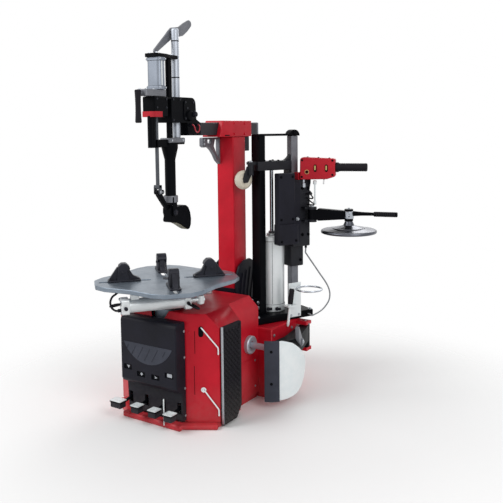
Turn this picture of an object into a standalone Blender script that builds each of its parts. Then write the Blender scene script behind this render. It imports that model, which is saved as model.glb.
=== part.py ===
"""Tyre changer: cabinet and turntable, tilting column with arm and tool, bead breaker and bead press.

Metres, +Z up, operator's side at -Y, bead breaker side at +X. Positions are measured from the turntable
axis on the floor; the machine empty shifts the whole by PLAN_CENTRE, so that the origin is the bottom
centre of the box.
"""

import math

import bmesh
import bpy
from mathutils import Matrix, Vector

# Plan position of the box's centre, from the turntable axis
PLAN_CENTRE = (0.26815, 0.3259)
GAP = 0.0004  # clearance between pieces that touch
FIT = 0.0008  # clearance round a sliding piece

# Turntable
TABLE_TOP = 0.700
PLATE_T = 0.022
PLATE_TIP_R = 0.355
PLATE_TIP_HALF = 0.060
PLATE_SHOULDER = (0.318, 0.118)
PLATE_WAIST_R = 0.292
JAW_ANGLE = math.radians(48.0)
JAW_R = 0.212
JAW_HALF_L = 0.080
JAW_HALF_W = 0.027
JAW_H = 0.090
SLOT_IN_R, SLOT_OUT_R, SLOT_HALF_W = 0.095, 0.338, 0.013
HUB_R = 0.065
HUB_BOTTOM = 0.500
CLAMP_DIR = math.radians(52.0)
CLAMP_OFFSET = 0.132
CLAMP_SHIFT = -0.0558
CLAMP_HALF = 0.034
CLAMP_L = 0.362
CLAMP_Z = 0.612

# Cabinet
SHELL_BOTTOM, SHELL_SHOULDER, DECK_Z, SHEET = 0.028, 0.495, 0.555, 0.004
SHELL_LOW = ((0.183, -0.085), (0.318, -0.005), (0.318, 0.170), (0.262, 0.205), (0.262, 0.430))
SHELL_TOP = ((0.165, -0.062), (0.248, -0.015), (0.242, 0.165), (0.228, 0.205), (0.214, 0.415))
DECK_HOLE_R = 0.085
COVER_HALF, COVER_FRONT, COVER_BACK = 0.177, -0.160, -0.0856
COVER_TOP, COVER_BOTTOM, BULGE_BOTTOM = 0.525, 0.035, 0.193
MOON_CHORD_Z, MOON_HALF, MOON_DROP = 0.400, 0.155, 0.098
MOON_DEPTH = 0.007
VENT_LEAN = 0.6  # sideways per height of a slit
VENT_SLITS = ((-0.121, 0.388, 0.362), (-0.0743, 0.386, 0.328), (-0.0276, 0.386, 0.324), (0.019, 0.385, 0.321))
VENT_SLITS += ((0.0658, 0.385, 0.321), (0.1126, 0.385, 0.358))
PAD_FRONT, PAD_BACK, PAD_TOP, PAD_BOTTOM = 0.000, 0.155, 0.498, 0.012
PAD_X, PAD_T = 0.3184, 0.020
CHASSIS_X = (-0.200, 0.345)
CHASSIS_Y = (0.4306, 0.830)
CHASSIS_TOP = 0.385

# Pedals
PEDAL_X = (-0.155, -0.052, 0.058, 0.155)
PEDAL_PIVOT = (-0.052, 0.108)
PEDAL_FRONT = -0.212
PEDAL_PAD = (0.054, 0.050, 0.010)

# Column and arm
COL_HALF_X, COL_FRONT, COL_BACK = 0.055, 0.510, 0.632
COL_BOTTOM, COL_TOP, COL_WALL = 0.425, 1.3976, 0.008
TILT_PIVOT = (0.585, 0.470)
SLEEVE_HALF_X, SLEEVE_FRONT, SLEEVE_BACK = 0.060, 0.385, 0.690
SLEEVE_BOTTOM, SLEEVE_TOP = 1.398, 1.485
ARM_HALF, ARM_Z = 0.033, 1.4415
ARM_FRONT, ARM_BACK = 0.236, 0.800

# Tool
TUBE_Y, TUBE_R, TUBE_BOTTOM, TUBE_TOP = 0.097, 0.019, 1.3992, 1.938
POST_Y, POST_R, POST_TOP = 0.042, 0.0155, 1.802
HOUSING_X, HOUSING_FRONT, HOUSING_BACK = 0.045, 0.006, 0.192
HOUSING_BOTTOM, HOUSING_TOP = 1.473, 1.598
KNOB_AT = (0.165, 1.515)
LINK_Y, LINK_R = -0.056, 0.009
ROD_COVER_Y, ROD_COVER_R = -0.092, 0.019
GRIP_Y, GRIP_R = -0.182, 0.0155
TOOL_Y, TOOL_R = 0.040, 0.027
CLAW_PIVOT = (0.035, 1.030)
CLAW_HALF_X = 0.024
LEVER_PIVOT = (0.100, 1.912)

# Bead breaker
BEAD_PIVOT = (0.386, 0.720)
BEAD_ROD_Y, BEAD_ROD_Z, BEAD_ROD_R = 0.338, 0.314, 0.016
BLADE_Z = (0.045, 0.360)
BLADE_T = 0.007

# Helper, in a frame that stands at its post and is turned about Z
HELPER_AT = (0.200, 0.560)
HELPER_TURN = math.radians(-25.0)
HELPER_BASE_TOP = 0.425
HELPER_POST = (0.086, 0.037)
POST_S = -0.021
HELPER_TOP = 1.412
LIFT_S, LIFT_T, LIFT_R = -0.035, 0.094, 0.072
LIFT_Z = (0.4254, 0.861)
RAIL_T, RAIL_W = 0.212, 0.045
BAR_Z = (1.214, 1.264)
CTRL_AT, CTRL_TURN = (0.345, 0.745), math.radians(20.0)
DISC_ARM_AT, DISC_ARM_TURN = (0.408, 0.762), math.radians(15.0)
DISC_ARM_L, DISC_R = 0.205, 0.152
ROLLER_PIVOT_T = -0.060
ROLLER_AT = (-0.036, -0.0855, 1.165)
STORED_LOW, STORED_HIGH = (0.131, 0.085, 0.365), (0.112, 0.128, 0.566)
RING_Z = 0.566
HOSE_TOP = (0.056, 0.262)
HOSE_END_T = 0.245

ROUND = 16  # sides of a small round piece
FINE = 24  # sides of a large or closely seen one


def linear(hex_colour):
    """The linear value of each channel of an sRGB colour written as six hex digits."""
    channels = [int(hex_colour[i : i + 2], 16) / 255 for i in (0, 2, 4)]
    return [c / 12.92 if c <= 0.04045 else ((c + 0.055) / 1.055) ** 2.4 for c in channels]


FINISHES = {
    "red_paint": ("BC2033", 0.35, 0.0),
    "black_plastic": ("272A32", 0.55, 0.0),
    "vent_grey": ("4A4E57", 0.60, 0.0),
    "black_paint": ("1F2126", 0.40, 0.0),
    "rubber": ("20202A", 0.85, 0.0),
    "aluminium": ("B9BDC8", 0.35, 0.9),
    "table_steel": ("B5C4D0", 0.40, 0.8),
    "jaw_steel": ("3A3C45", 0.45, 0.6),
    "cast_grey": ("84868C", 0.55, 0.3),
    "arm_grey": ("3D3D40", 0.45, 0.2),
    "blade_steel": ("E6EEF2", 0.30, 0.7),
    "chrome": ("D0D4DA", 0.12, 1.0),
    "nylon": ("F3EDE0", 0.50, 0.0),
    "gear_iron": ("5A5C60", 0.60, 0.4),
}


def collection(name):
    made = bpy.data.collections.new(name)
    bpy.context.scene.collection.children.link(made)
    return made


for old in list(bpy.data.objects):
    bpy.data.objects.remove(old)
PARTS = collection("tyre_changer")
HELPERS = collection("cutters")


def material(node, finish):
    """A Principled material of one finish, made for one node."""
    colour, roughness, metallic = FINISHES[finish]
    made = bpy.data.materials.new(f"{node}_{finish}")
    made.use_nodes = True
    shader = made.node_tree.nodes["Principled BSDF"]
    shader.inputs["Base Color"].default_value = (*linear(colour), 1.0)
    shader.inputs["Roughness"].default_value = roughness
    shader.inputs["Metallic"].default_value = metallic
    return made


def into(obj, target):
    for owner in list(obj.users_collection):
        owner.objects.unlink(obj)
    target.objects.link(obj)
    return obj


def bevelled(obj, width, segments=1):
    if width:
        made = obj.modifiers.new("edges", "BEVEL")
        made.width = width
        made.segments = segments
        made.limit_method = "ANGLE"
        made.angle_limit = math.radians(40)
    return obj


def box(low, high, bevel=0.0, segments=1):
    """A box between two corners."""
    bpy.ops.mesh.primitive_cube_add(size=1)
    obj = bpy.context.object
    size = [b - a for a, b in zip(low, high)]
    obj.data.transform(Matrix.Diagonal((*size, 1)))
    obj.location = [(a + b) / 2 for a, b in zip(low, high)]
    return bevelled(obj, bevel, segments)


def rod(radius, start, end, sides=ROUND, bevel=0.0):
    """A round bar between two points."""
    start, end = Vector(start), Vector(end)
    bpy.ops.mesh.primitive_cylinder_add(radius=radius, depth=(end - start).length, vertices=sides)
    obj = bpy.context.object
    obj.data.transform((end - start).to_track_quat("Z", "Y").to_matrix().to_4x4())
    obj.location = (start + end) / 2
    smooth(obj)
    return bevelled(obj, bevel)


def smooth(obj):
    obj.data.shade_smooth()
    obj.data.set_sharp_from_angle(angle=math.radians(35))
    return obj


def turned(profile, at=(0, 0, 0), axis="Z", steps=ROUND, ring=False):
    """A turned piece. The profile lists (radius, height) from the top down; a ring's profile is a loop."""
    mesh = bpy.data.meshes.new("profile")
    points = [(r, 0, z) for r, z in profile]
    edges = [(i, i + 1) for i in range(len(points) - 1)]
    if ring:
        edges.append((len(points) - 1, 0))
    mesh.from_pydata(points, edges, [])
    obj = bpy.data.objects.new("profile", mesh)
    bpy.context.scene.collection.objects.link(obj)
    screw = obj.modifiers.new("turn", "SCREW")
    screw.steps = screw.render_steps = steps
    screw.use_merge_vertices = True
    screw.merge_threshold = 0.00005
    screw.use_smooth_shade = True
    obj = solid(obj)
    make_outward(obj)
    smooth(obj)
    if axis == "X":
        obj.data.transform(Matrix.Rotation(math.radians(90), 4, "Y"))
    obj.location = at
    return obj


def make_outward(obj):
    work = bmesh.new()
    work.from_mesh(obj.data)
    bmesh.ops.remove_doubles(work, verts=work.verts, dist=0.00001)
    bmesh.ops.recalc_face_normals(work, faces=work.faces)
    work.to_mesh(obj.data)
    work.free()


def solid(obj):
    """The object as a plain mesh with its modifiers or curve evaluated, at the same place."""
    bpy.context.view_layer.update()
    graph = bpy.context.evaluated_depsgraph_get()
    mesh = bpy.data.meshes.new_from_object(obj.evaluated_get(graph))
    made = bpy.data.objects.new("solid", mesh)
    bpy.context.scene.collection.objects.link(made)
    made.matrix_world = obj.matrix_world
    bpy.data.objects.remove(obj)
    make_outward(made)
    return made


def flat(points, thickness, plane="XY", at=0.0, bevel=0.0, holes=(), segments=1):
    """A flat piece with this outline. `at` is the middle of its thickness along the plane's normal."""
    curve = bpy.data.curves.new("outline", "CURVE")
    curve.dimensions = "2D"
    curve.fill_mode = "BOTH"
    curve.extrude = thickness / 2
    for loop in (points, *holes):
        spline = curve.splines.new("POLY")
        spline.points.add(len(loop) - 1)
        for point, (a, b) in zip(spline.points, loop):
            point.co = (a, b, 0, 1)
        spline.use_cyclic_u = True
    obj = bpy.data.objects.new("outline", curve)
    bpy.context.scene.collection.objects.link(obj)
    obj = solid(obj)
    turn = {
        "XY": Matrix.Identity(4),
        "YZ": Matrix(((0, 0, 1, 0), (1, 0, 0, 0), (0, 1, 0, 0), (0, 0, 0, 1))),
        "XZ": Matrix(((1, 0, 0, 0), (0, 0, -1, 0), (0, 1, 0, 0), (0, 0, 0, 1))),
    }[plane]
    obj.data.transform(turn)
    normal = {"XY": (0, 0, at), "YZ": (at, 0, 0), "XZ": (0, at, 0)}[plane]
    obj.location = normal
    return bevelled(obj, bevel, segments)


def pipe(points, radius):
    """A tube along a polyline with filled ends."""
    curve = bpy.data.curves.new("route", "CURVE")
    curve.dimensions = "3D"
    curve.bevel_depth = radius
    curve.bevel_resolution = 2
    curve.use_fill_caps = True
    spline = curve.splines.new("POLY")
    spline.points.add(len(points) - 1)
    for point, where in zip(spline.points, points):
        point.co = (*where, 1)
    obj = bpy.data.objects.new("route", curve)
    bpy.context.scene.collection.objects.link(obj)
    return smooth(solid(obj))


def smooth_route(stations, count):
    """Points at even steps along a smooth curve through the stations."""
    ends = [stations[0], *stations, stations[-1]]
    dense = []
    for a, b, c, d in zip(ends, ends[1:], ends[2:], ends[3:]):
        a, b, c, d = Vector(a), Vector(b), Vector(c), Vector(d)
        for i in range(24):
            t = i / 24
            along = 2 * b + (c - a) * t + (2 * a - 5 * b + 4 * c - d) * t * t
            dense.append((along + (3 * b - a - 3 * c + d) * t * t * t) / 2)
    dense.append(Vector(stations[-1]))
    lengths = [0.0]
    for a, b in zip(dense, dense[1:]):
        lengths.append(lengths[-1] + (b - a).length)
    route = []
    for k in range(count):
        want = lengths[-1] * k / (count - 1)
        i = next((j for j in range(1, len(lengths)) if lengths[j] >= want), len(lengths) - 1)
        share = (want - lengths[i - 1]) / (lengths[i] - lengths[i - 1])
        route.append(tuple(dense[i - 1].lerp(dense[i], share)))
    return route


def boolean(obj, others, operation):
    for other in others:
        into(other, HELPERS)
        other.hide_render = True
        other.display_type = "WIRE"
        other.name = "helper"
        made = obj.modifiers.new(operation.lower(), "BOOLEAN")
        made.operation = operation
        made.solver = "EXACT"
        made.object = other
    return obj


def joined(obj, *others):
    return boolean(obj, others, "UNION")


def cut(obj, *others):
    return boolean(obj, others, "DIFFERENCE")


def arc(centre, radius, start, end, count):
    """Points on a circle between two angles in degrees."""
    angles = [math.radians(start + (end - start) * i / (count - 1)) for i in range(count)]
    return [(centre[0] + radius * math.cos(a), centre[1] + radius * math.sin(a)) for a in angles]


def world_of(obj):
    bpy.context.view_layer.update()
    return obj.matrix_world.copy()


def placed(obj, angle, at):
    """A piece drawn along +X from its frame's origin, turned about Z and moved to a plan position."""
    obj.matrix_world = Matrix.Translation((*at, 0)) @ Matrix.Rotation(angle, 4, "Z") @ world_of(obj)
    return obj


BODIES = {}


def body(name, at, parent="machine"):
    """An empty on a joint's axis, which its pieces are parented to."""
    made = bpy.data.objects.new(name + "_body", None)
    PARTS.objects.link(made)
    made.location = at
    BODIES[name] = made
    if name != "machine":
        bpy.context.view_layer.update()
        made.parent = BODIES[parent]
        made.matrix_parent_inverse = BODIES[parent].matrix_world.inverted()
    bpy.context.view_layer.update()


def node(name, obj, finish, owner="machine"):
    """Names a piece, gives it its material and parents it, with its cutters, to its body."""
    obj.name = obj.data.name = name
    into(obj, PARTS)
    obj.data.materials.clear()
    obj.data.materials.append(material(name, finish))
    bpy.context.view_layer.update()
    followers = [m.object for m in obj.modifiers if m.type == "BOOLEAN"]
    for follower in followers:
        for m in follower.modifiers:
            if m.type == "BOOLEAN":
                followers.append(m.object)
    for piece in (obj, *followers):
        piece.parent = BODIES[owner]
        piece.matrix_parent_inverse = BODIES[owner].matrix_world.inverted()
    return obj


def make_bodies():
    body("machine", (0, 0, 0))
    body("turntable", (0, 0, TABLE_TOP))
    for i in range(4):
        angle = JAW_ANGLE + i * math.pi / 2
        at = (JAW_R * math.cos(angle), JAW_R * math.sin(angle), TABLE_TOP)
        body(f"jaw_{i + 1}", at, "turntable")
    body("column", (0, *TILT_PIVOT))
    body("arm", (0, ARM_FRONT, ARM_Z), "column")
    body("lock_knob", (HOUSING_X, *KNOB_AT), "arm")
    body("tool", (0, TUBE_Y, TUBE_BOTTOM), "arm")
    body("claw", (0, *CLAW_PIVOT), "tool")
    body("link_rod", (0, LINK_Y, 1.15), "tool")
    body("top_lever", (0, *LEVER_PIVOT), "tool")
    body("bead_arm", (*BEAD_PIVOT, 0.29))
    body("bead_rod", (0.262, BEAD_ROD_Y, BEAD_ROD_Z))
    body("carriage", (*HELPER_AT, BAR_Z[0]))
    body("disc_arm", (*DISC_ARM_AT, 0.965), "carriage")
    body("press_disc", (*disc_centre(), 0.90), "disc_arm")
    body("roller_arm", (*helper_point(0, ROLLER_PIVOT_T), 1.23), "carriage")
    body("press_roller", roller_centre(), "roller_arm")
    body("valve_lever", (*ctrl_point(0.080, 0.0), 1.150), "carriage")
    body("stored_lever", stored_ends()[1])
    for i, x in enumerate(PEDAL_X):
        body(f"pedal_{i + 1}", (x, *PEDAL_PIVOT))


def helper_point(s, t):
    """The plan position of a point in the helper's frame."""
    c, d = math.cos(HELPER_TURN), math.sin(HELPER_TURN)
    return (HELPER_AT[0] + s * c - t * d, HELPER_AT[1] + s * d + t * c)


def ctrl_point(along, across):
    c, d = math.cos(CTRL_TURN), math.sin(CTRL_TURN)
    return (CTRL_AT[0] + along * c - across * d, CTRL_AT[1] + along * d + across * c)


def disc_centre():
    c, d = math.cos(DISC_ARM_TURN), math.sin(DISC_ARM_TURN)
    return (DISC_ARM_AT[0] + DISC_ARM_L * c, DISC_ARM_AT[1] + DISC_ARM_L * d)


def roller_centre():
    along, across, z = ROLLER_AT
    return (*helper_point(along, across), z)


def helper_box(low, high, bevel=0.0, segments=1):
    """A box whose corners are (s, t, z) in the helper's frame."""
    return placed(box(low, high, bevel, segments), HELPER_TURN, HELPER_AT)


# Turntable


def plate_outline():
    points = []
    for i in range(4):
        angle = JAW_ANGLE + i * math.pi / 2
        arm = (
            (PLATE_SHOULDER[0], -PLATE_SHOULDER[1]),
            (PLATE_TIP_R, -PLATE_TIP_HALF),
            (PLATE_TIP_R, PLATE_TIP_HALF),
            PLATE_SHOULDER,
            (PLATE_WAIST_R * math.cos(math.pi / 4), PLATE_WAIST_R * math.sin(math.pi / 4)),
        )
        for x, y in arm:
            c, s = math.cos(angle), math.sin(angle)
            points.append((x * c - y * s, x * s + y * c))
    return points


def slot_outline(angle):
    c, s = math.cos(angle), math.sin(angle)
    low = arc((SLOT_IN_R, 0), SLOT_HALF_W, 270, 90, 6)
    high = arc((SLOT_OUT_R - SLOT_HALF_W, 0), SLOT_HALF_W, 90, -90, 6)
    return [(x * c - y * s, x * s + y * c) for x, y in low + high]


def make_turntable():
    slots = [slot_outline(JAW_ANGLE + i * math.pi / 2) for i in range(4)]
    plate = flat(plate_outline(), PLATE_T, "XY", TABLE_TOP - PLATE_T / 2, 0.003, slots)
    hub_top = TABLE_TOP - PLATE_T + 0.004
    hub = turned(
        (
            (0, hub_top),
            (0.088, hub_top),
            (0.088, hub_top - 0.02),
            (HUB_R, hub_top - 0.035),
            (HUB_R, HUB_BOTTOM),
            (0, HUB_BOTTOM),
        )
    )
    node("turntable_plate", joined(plate, hub), "table_steel", "turntable")
    for i in range(4):
        node(f"jaw_{i + 1}", jaw(JAW_ANGLE + i * math.pi / 2), "jaw_steel", f"jaw_{i + 1}")
    for i, name in enumerate(("clamp_cylinder_front", "clamp_cylinder_rear")):
        node(name, clamp_cylinder(CLAMP_DIR + i * math.pi), "aluminium", "turntable")


def jaw(angle):
    """A hooked wedge with a tongue in the plate's slot. Radial profile in (r, z)."""
    floor = TABLE_TOP + GAP
    r, h = JAW_HALF_L, JAW_H
    profile = (
        (-r, 0.0),
        (r, 0.0),
        (r, 0.012),
        (0.030, h - 0.008),
        (0.012, h),
        (-0.010, h),
        (-0.026, h - 0.016),
        (-0.030, h - 0.030),
        (-0.014, h - 0.042),
        (-0.034, 0.030),
        (-r, 0.014),
    )
    raised = [(x, z + floor) for x, z in profile]
    made = bevelled(turn_profile(raised, 2 * JAW_HALF_W), 0.003)
    tongue_low = TABLE_TOP - PLATE_T + 0.003
    tongue = box((-0.028, -SLOT_HALF_W + FIT, tongue_low), (0.028, SLOT_HALF_W - FIT, floor + 0.01))
    joined(made, placed(tongue, angle, (JAW_R * math.cos(angle), JAW_R * math.sin(angle))))
    return placed(made, angle, (JAW_R * math.cos(angle), JAW_R * math.sin(angle)))


def turn_profile(points, width):
    """A profile drawn in X and Z, as thick as width about Y = 0."""
    return flat(points, width, "XZ", 0.0)


def clamp_cylinder(turn):
    """Square profile cylinder with end caps and two lugs up to the plate."""
    half = CLAMP_L / 2
    w = CLAMP_HALF
    c, s = math.cos(turn), math.sin(turn)
    at = (CLAMP_OFFSET * s + CLAMP_SHIFT * c, CLAMP_SHIFT * s - CLAMP_OFFSET * c)
    made = box((-half, -w, CLAMP_Z - w), (half - 0.06, w, CLAMP_Z + w), 0.006)
    under = TABLE_TOP - PLATE_T - GAP
    cap = w + 0.003
    low, high = CLAMP_Z - cap, CLAMP_Z + cap
    others = [
        box((-half - 0.016, -cap, low), (-half + 0.020, cap, high), 0.004),
        box((half - 0.075, -cap, low), (half - 0.045, cap, high), 0.004),
        rod(0.012, (half - 0.06, 0, CLAMP_Z), (half + 0.030, 0, CLAMP_Z)),
        rod(0.018, (half + 0.010, 0, CLAMP_Z - 0.020), (half + 0.010, 0, CLAMP_Z + 0.020)),
        box((-half + 0.030, -0.015, CLAMP_Z), (-half + 0.070, 0.015, under)),
        box((half - 0.130, -0.015, CLAMP_Z), (half - 0.090, 0.015, under)),
    ]
    for other in others:
        placed(other, turn, at)
    return joined(placed(made, turn, at), *others)


# Cabinet


def ring_of(half, z):
    right = [(x, y, z) for x, y in half]
    return right + [(-x, y, z) for x, y, z in reversed(right)]


def make_cabinet():
    levels = ((SHELL_LOW, SHELL_BOTTOM), (SHELL_LOW, SHELL_SHOULDER), (SHELL_TOP, DECK_Z))
    rings = [ring_of(half, z) for half, z in levels]
    count = len(rings[0])
    faces = []
    for level in range(2):
        for i in range(count):
            j = (i + 1) % count
            a, b = level * count, (level + 1) * count
            faces.append((a + i, a + j, b + j, b + i))
    faces.append(tuple(range(2 * count, 3 * count)))
    mesh = bpy.data.meshes.new("shell")
    mesh.from_pydata([p for ring in rings for p in ring], [], faces)
    shell = bpy.data.objects.new("shell", mesh)
    bpy.context.scene.collection.objects.link(shell)
    wall = shell.modifiers.new("sheet", "SOLIDIFY")
    wall.thickness = SHEET
    wall.offset = -1
    wall.use_even_offset = True
    shell = solid(shell)
    washer = rod(0.046, (0.2595, BEAD_ROD_Y, BEAD_ROD_Z), (0.279, BEAD_ROD_Y, BEAD_ROD_Z), FINE)
    joined(shell, washer)
    cut(
        shell,
        rod(DECK_HOLE_R, (0, 0, DECK_Z - 0.05), (0, 0, DECK_Z + 0.05), FINE),
        rod(BEAD_ROD_R + 0.003, (0.2, BEAD_ROD_Y, BEAD_ROD_Z), (0.32, BEAD_ROD_Y, BEAD_ROD_Z)),
        box((-0.165, -0.12, 0.05), (0.165, -0.07, 0.44)),
    )
    node("cabinet_shell", shell, "red_paint")
    node("front_cover", front_cover(), "black_plastic")
    moon = moon_outline(MOON_HALF - 0.0006, MOON_DROP - 0.0006, MOON_CHORD_Z - 0.0003)
    panel = flat(moon, MOON_DEPTH, "XZ", COVER_FRONT + MOON_DEPTH / 2 - 0.001)
    for x, top, bottom in VENT_SLITS:
        low = x - (top - bottom) * VENT_LEAN
        slit = ((x - 0.0025, top), (x + 0.0025, top), (low + 0.0025, bottom), (low - 0.0025, bottom))
        cut(panel, flat(slit, 0.011, "XZ", COVER_FRONT - 0.0045))
    node("vent_panel", panel, "vent_grey")
    node("base_frame", base_frame(), "red_paint")
    node("rear_chassis", rear_chassis(), "red_paint")
    chamfer = 0.045
    pad = (
        (PAD_FRONT, PAD_BOTTOM),
        (PAD_BACK - chamfer, PAD_BOTTOM),
        (PAD_BACK, PAD_BOTTOM + chamfer * 1.3),
        (PAD_BACK, PAD_TOP),
        (PAD_FRONT, PAD_TOP),
    )
    node("rubber_pad", flat(pad, PAD_T, "YZ", PAD_X + PAD_T / 2, 0.004), "rubber")
    make_drive()
    for i in range(4):
        node(f"pedal_{i + 1}", pedal(i), "blade_steel", f"pedal_{i + 1}")


def moon_outline(half, drop, chord):
    radius = (half * half + drop * drop) / (2 * drop)
    swing = math.degrees(math.asin(half / radius))
    return arc((0, chord - drop + radius), radius, 270 - swing, 270 + swing, 17)


def front_cover():
    y0, y1 = COVER_FRONT, COVER_BACK
    profile = (
        (y1, COVER_TOP),
        (y0 + 0.022, COVER_TOP),
        (y0 + 0.006, COVER_TOP - 0.006),
        (y0, COVER_TOP - 0.022),
        (y0, BULGE_BOTTOM + 0.018),
        (y0 + 0.010, BULGE_BOTTOM),
        (-0.120, BULGE_BOTTOM - 0.014),
        (-0.113, COVER_BOTTOM),
        (y1, COVER_BOTTOM),
    )
    cover = flat(profile, 2 * COVER_HALF, "YZ", 0.0, 0.005)
    wall = 0.009
    inside = COVER_HALF - wall
    cutters = [
        box((-inside, y0 + 0.014, BULGE_BOTTOM + 0.012), (inside, y1 + 0.01, COVER_TOP - wall)),
        box((-inside, -0.106, COVER_BOTTOM + wall), (inside, y1 + 0.02, BULGE_BOTTOM + 0.02)),
        flat(moon_outline(MOON_HALF, MOON_DROP, MOON_CHORD_Z), 2 * MOON_DEPTH, "XZ", y0),
    ]
    for x, z in ((-0.132, 0.270), (-0.046, 0.246), (0.046, 0.246), (0.132, 0.270)):
        cutters.append(box((x - 0.026, y0 - 0.01, z - 0.013), (x + 0.026, y0 + 0.007, z + 0.013)))
    for x in PEDAL_X:
        cutters.append(box((x - 0.012, -0.14, 0.070), (x + 0.012, -0.10, 0.128)))
    return cut(cover, *cutters)


def base_frame():
    top = SHELL_BOTTOM - GAP
    front = box((-0.185, -0.152, 0), (0.185, -0.098, top), 0.006)
    others = [box((-0.250, 0.02, 0), (-0.205, 0.425, top)), box((0.205, 0.02, 0), (0.250, 0.425, top))]
    others.append(box((-0.23, 0.380, 0.001), (0.23, 0.424, top - 0.001)))
    for side, turn in ((-1, 148), (1, 32)):
        arm = box((-0.020, -0.024, 0.0005), (0.178, 0.024, top - 0.0005), 0.006)
        others.append(placed(arm, math.radians(turn), (side * 0.165, -0.112)))
        x = side * 0.228
        others.append(box((x - 0.022, -0.075, 0.0008), (x + 0.022, 0.06, top - 0.0008)))
    return joined(front, *others)


def rear_chassis():
    """A sheet box, open below, with a cut corner at the right rear and lugs for the bead breaker arm."""
    x0, x1 = CHASSIS_X
    y0, y1 = CHASSIS_Y
    plan = ((x0, y0), (x1, y0), (x1, y1 - 0.09), (x1 - 0.065, y1), (x0, y1))
    made = flat(plan, CHASSIS_TOP, "XY", CHASSIS_TOP / 2, 0.006)
    inner = ((x0 + 0.006, y0 + 0.006), (x1 - 0.006, y0 + 0.006), (x1 - 0.006, y1 - 0.092))
    inner += ((x1 - 0.068, y1 - 0.006), (x0 + 0.006, y1 - 0.006))
    hollow = flat(inner, CHASSIS_TOP, "XY", CHASSIS_TOP / 2 - 0.007)
    x, y = BEAD_PIVOT
    lugs = [box((x1 - 0.004, y - 0.028, z), (x + 0.024, y + 0.028, z + 0.018)) for z in (0.205, 0.352)]
    pin = rod(0.011, (*BEAD_PIVOT, 0.215), (*BEAD_PIVOT, 0.362))
    cut(made, hollow)
    return joined(made, *lugs, pin)


def make_drive():
    under = DECK_Z - SHEET - GAP
    gearbox = box((-0.105, -0.035, 0.310), (0.105, 0.145, HUB_BOTTOM - 0.002), 0.012)
    legs = []
    for x in (-0.098, 0.098):
        for y in (-0.020, 0.130):
            legs.append(box((x - 0.012, y - 0.012, 0.470), (x + 0.012, y + 0.012, under)))
    shaft = rod(0.014, (0.09, 0.055, 0.40), (-0.190, 0.055, 0.40))
    wheel = rod(0.070, (-0.150, 0.055, 0.40), (-0.182, 0.055, 0.40))
    node("gearbox", joined(gearbox, *legs, shaft, wheel), "gear_iron")
    motor = rod(0.082, (-0.120, 0.055, 0.140), (0.130, 0.055, 0.140), FINE, 0.006)
    foot = box((-0.060, 0.005, 0.140), (0.060, 0.105, 0.310 - GAP))
    pulley = rod(0.034, (-0.150, 0.055, 0.140), (-0.182, 0.055, 0.140))
    axle = rod(0.012, (-0.110, 0.055, 0.140), (-0.186, 0.055, 0.140))
    node("drive_motor", joined(motor, foot, pulley, axle), "gear_iron")
    node("drive_belt", belt(), "rubber")
    cylinder = rod(0.080, (0.020, BEAD_ROD_Y, BEAD_ROD_Z), (0.2575, BEAD_ROD_Y, BEAD_ROD_Z), FINE, 0.004)
    bore = rod(BEAD_ROD_R + FIT, (0.035, BEAD_ROD_Y, BEAD_ROD_Z), (0.30, BEAD_ROD_Y, BEAD_ROD_Z))
    node("bead_cylinder", cut(cylinder, bore), "gear_iron")
    ears = []
    for side in (-1, 1):
        x = side * (COL_HALF_X + 0.010)
        outline = [(0.500, CHASSIS_TOP + GAP), (0.690, CHASSIS_TOP + GAP), (0.690, 0.560), (0.660, 0.640)]
        outline += [(0.600, 0.668), (0.545, 0.640), (0.500, 0.520)]
        ears.append(flat(outline, 0.012, "YZ", x, 0.002))
    floor = box((-0.066, 0.504, CHASSIS_TOP + GAP), (0.066, 0.686, CHASSIS_TOP + 0.014))
    pin = rod(0.014, (-0.082, *TILT_PIVOT), (0.082, *TILT_PIVOT))
    node("column_bracket", joined(floor, *ears, pin), "black_paint")


def belt():
    """A flat belt in the plane X = -0.166, round the gearbox wheel and the motor pulley."""
    outer = belt_loop(0.0755, 0.0395)
    inner = belt_loop(0.0708, 0.0348)
    return flat(outer, 0.022, "YZ", -0.166, 0.0, [inner])


def belt_loop(big, small):
    lean = math.degrees(math.asin((big - small) / 0.26))
    upper = arc((0.055, 0.40), big, 180 + lean, -lean, 17)
    lower = arc((0.055, 0.14), small, -lean, -180 + lean, 11)
    return upper + lower


def pedal(i):
    x = PEDAL_X[i]
    y, z = PEDAL_PIVOT
    wide = 0.010 if i == 0 else 0.0
    shift = -0.024 if i == 0 else 0.0
    boss = rod(0.012, (x - 0.016, y, z), (x + 0.016, y, z))
    bar = flat(
        (
            (y - 0.004, z + 0.009),
            (-0.100, z - 0.002),
            (PEDAL_FRONT + 0.02, z - 0.018),
            (PEDAL_FRONT + 0.02, z - 0.027),
            (-0.100, z - 0.016),
            (y - 0.004, z - 0.009),
        ),
        0.010,
        "YZ",
        x,
    )
    wx, wy, wz = PEDAL_PAD
    low = (x + shift - wx / 2 - wide, PEDAL_FRONT, z - 0.020)
    pad = box(low, (x + shift + wx / 2 + wide, PEDAL_FRONT + wy, z - 0.020 + wz), 0.003)
    return joined(bar, boss, pad)


# Column, arm and tool


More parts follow.
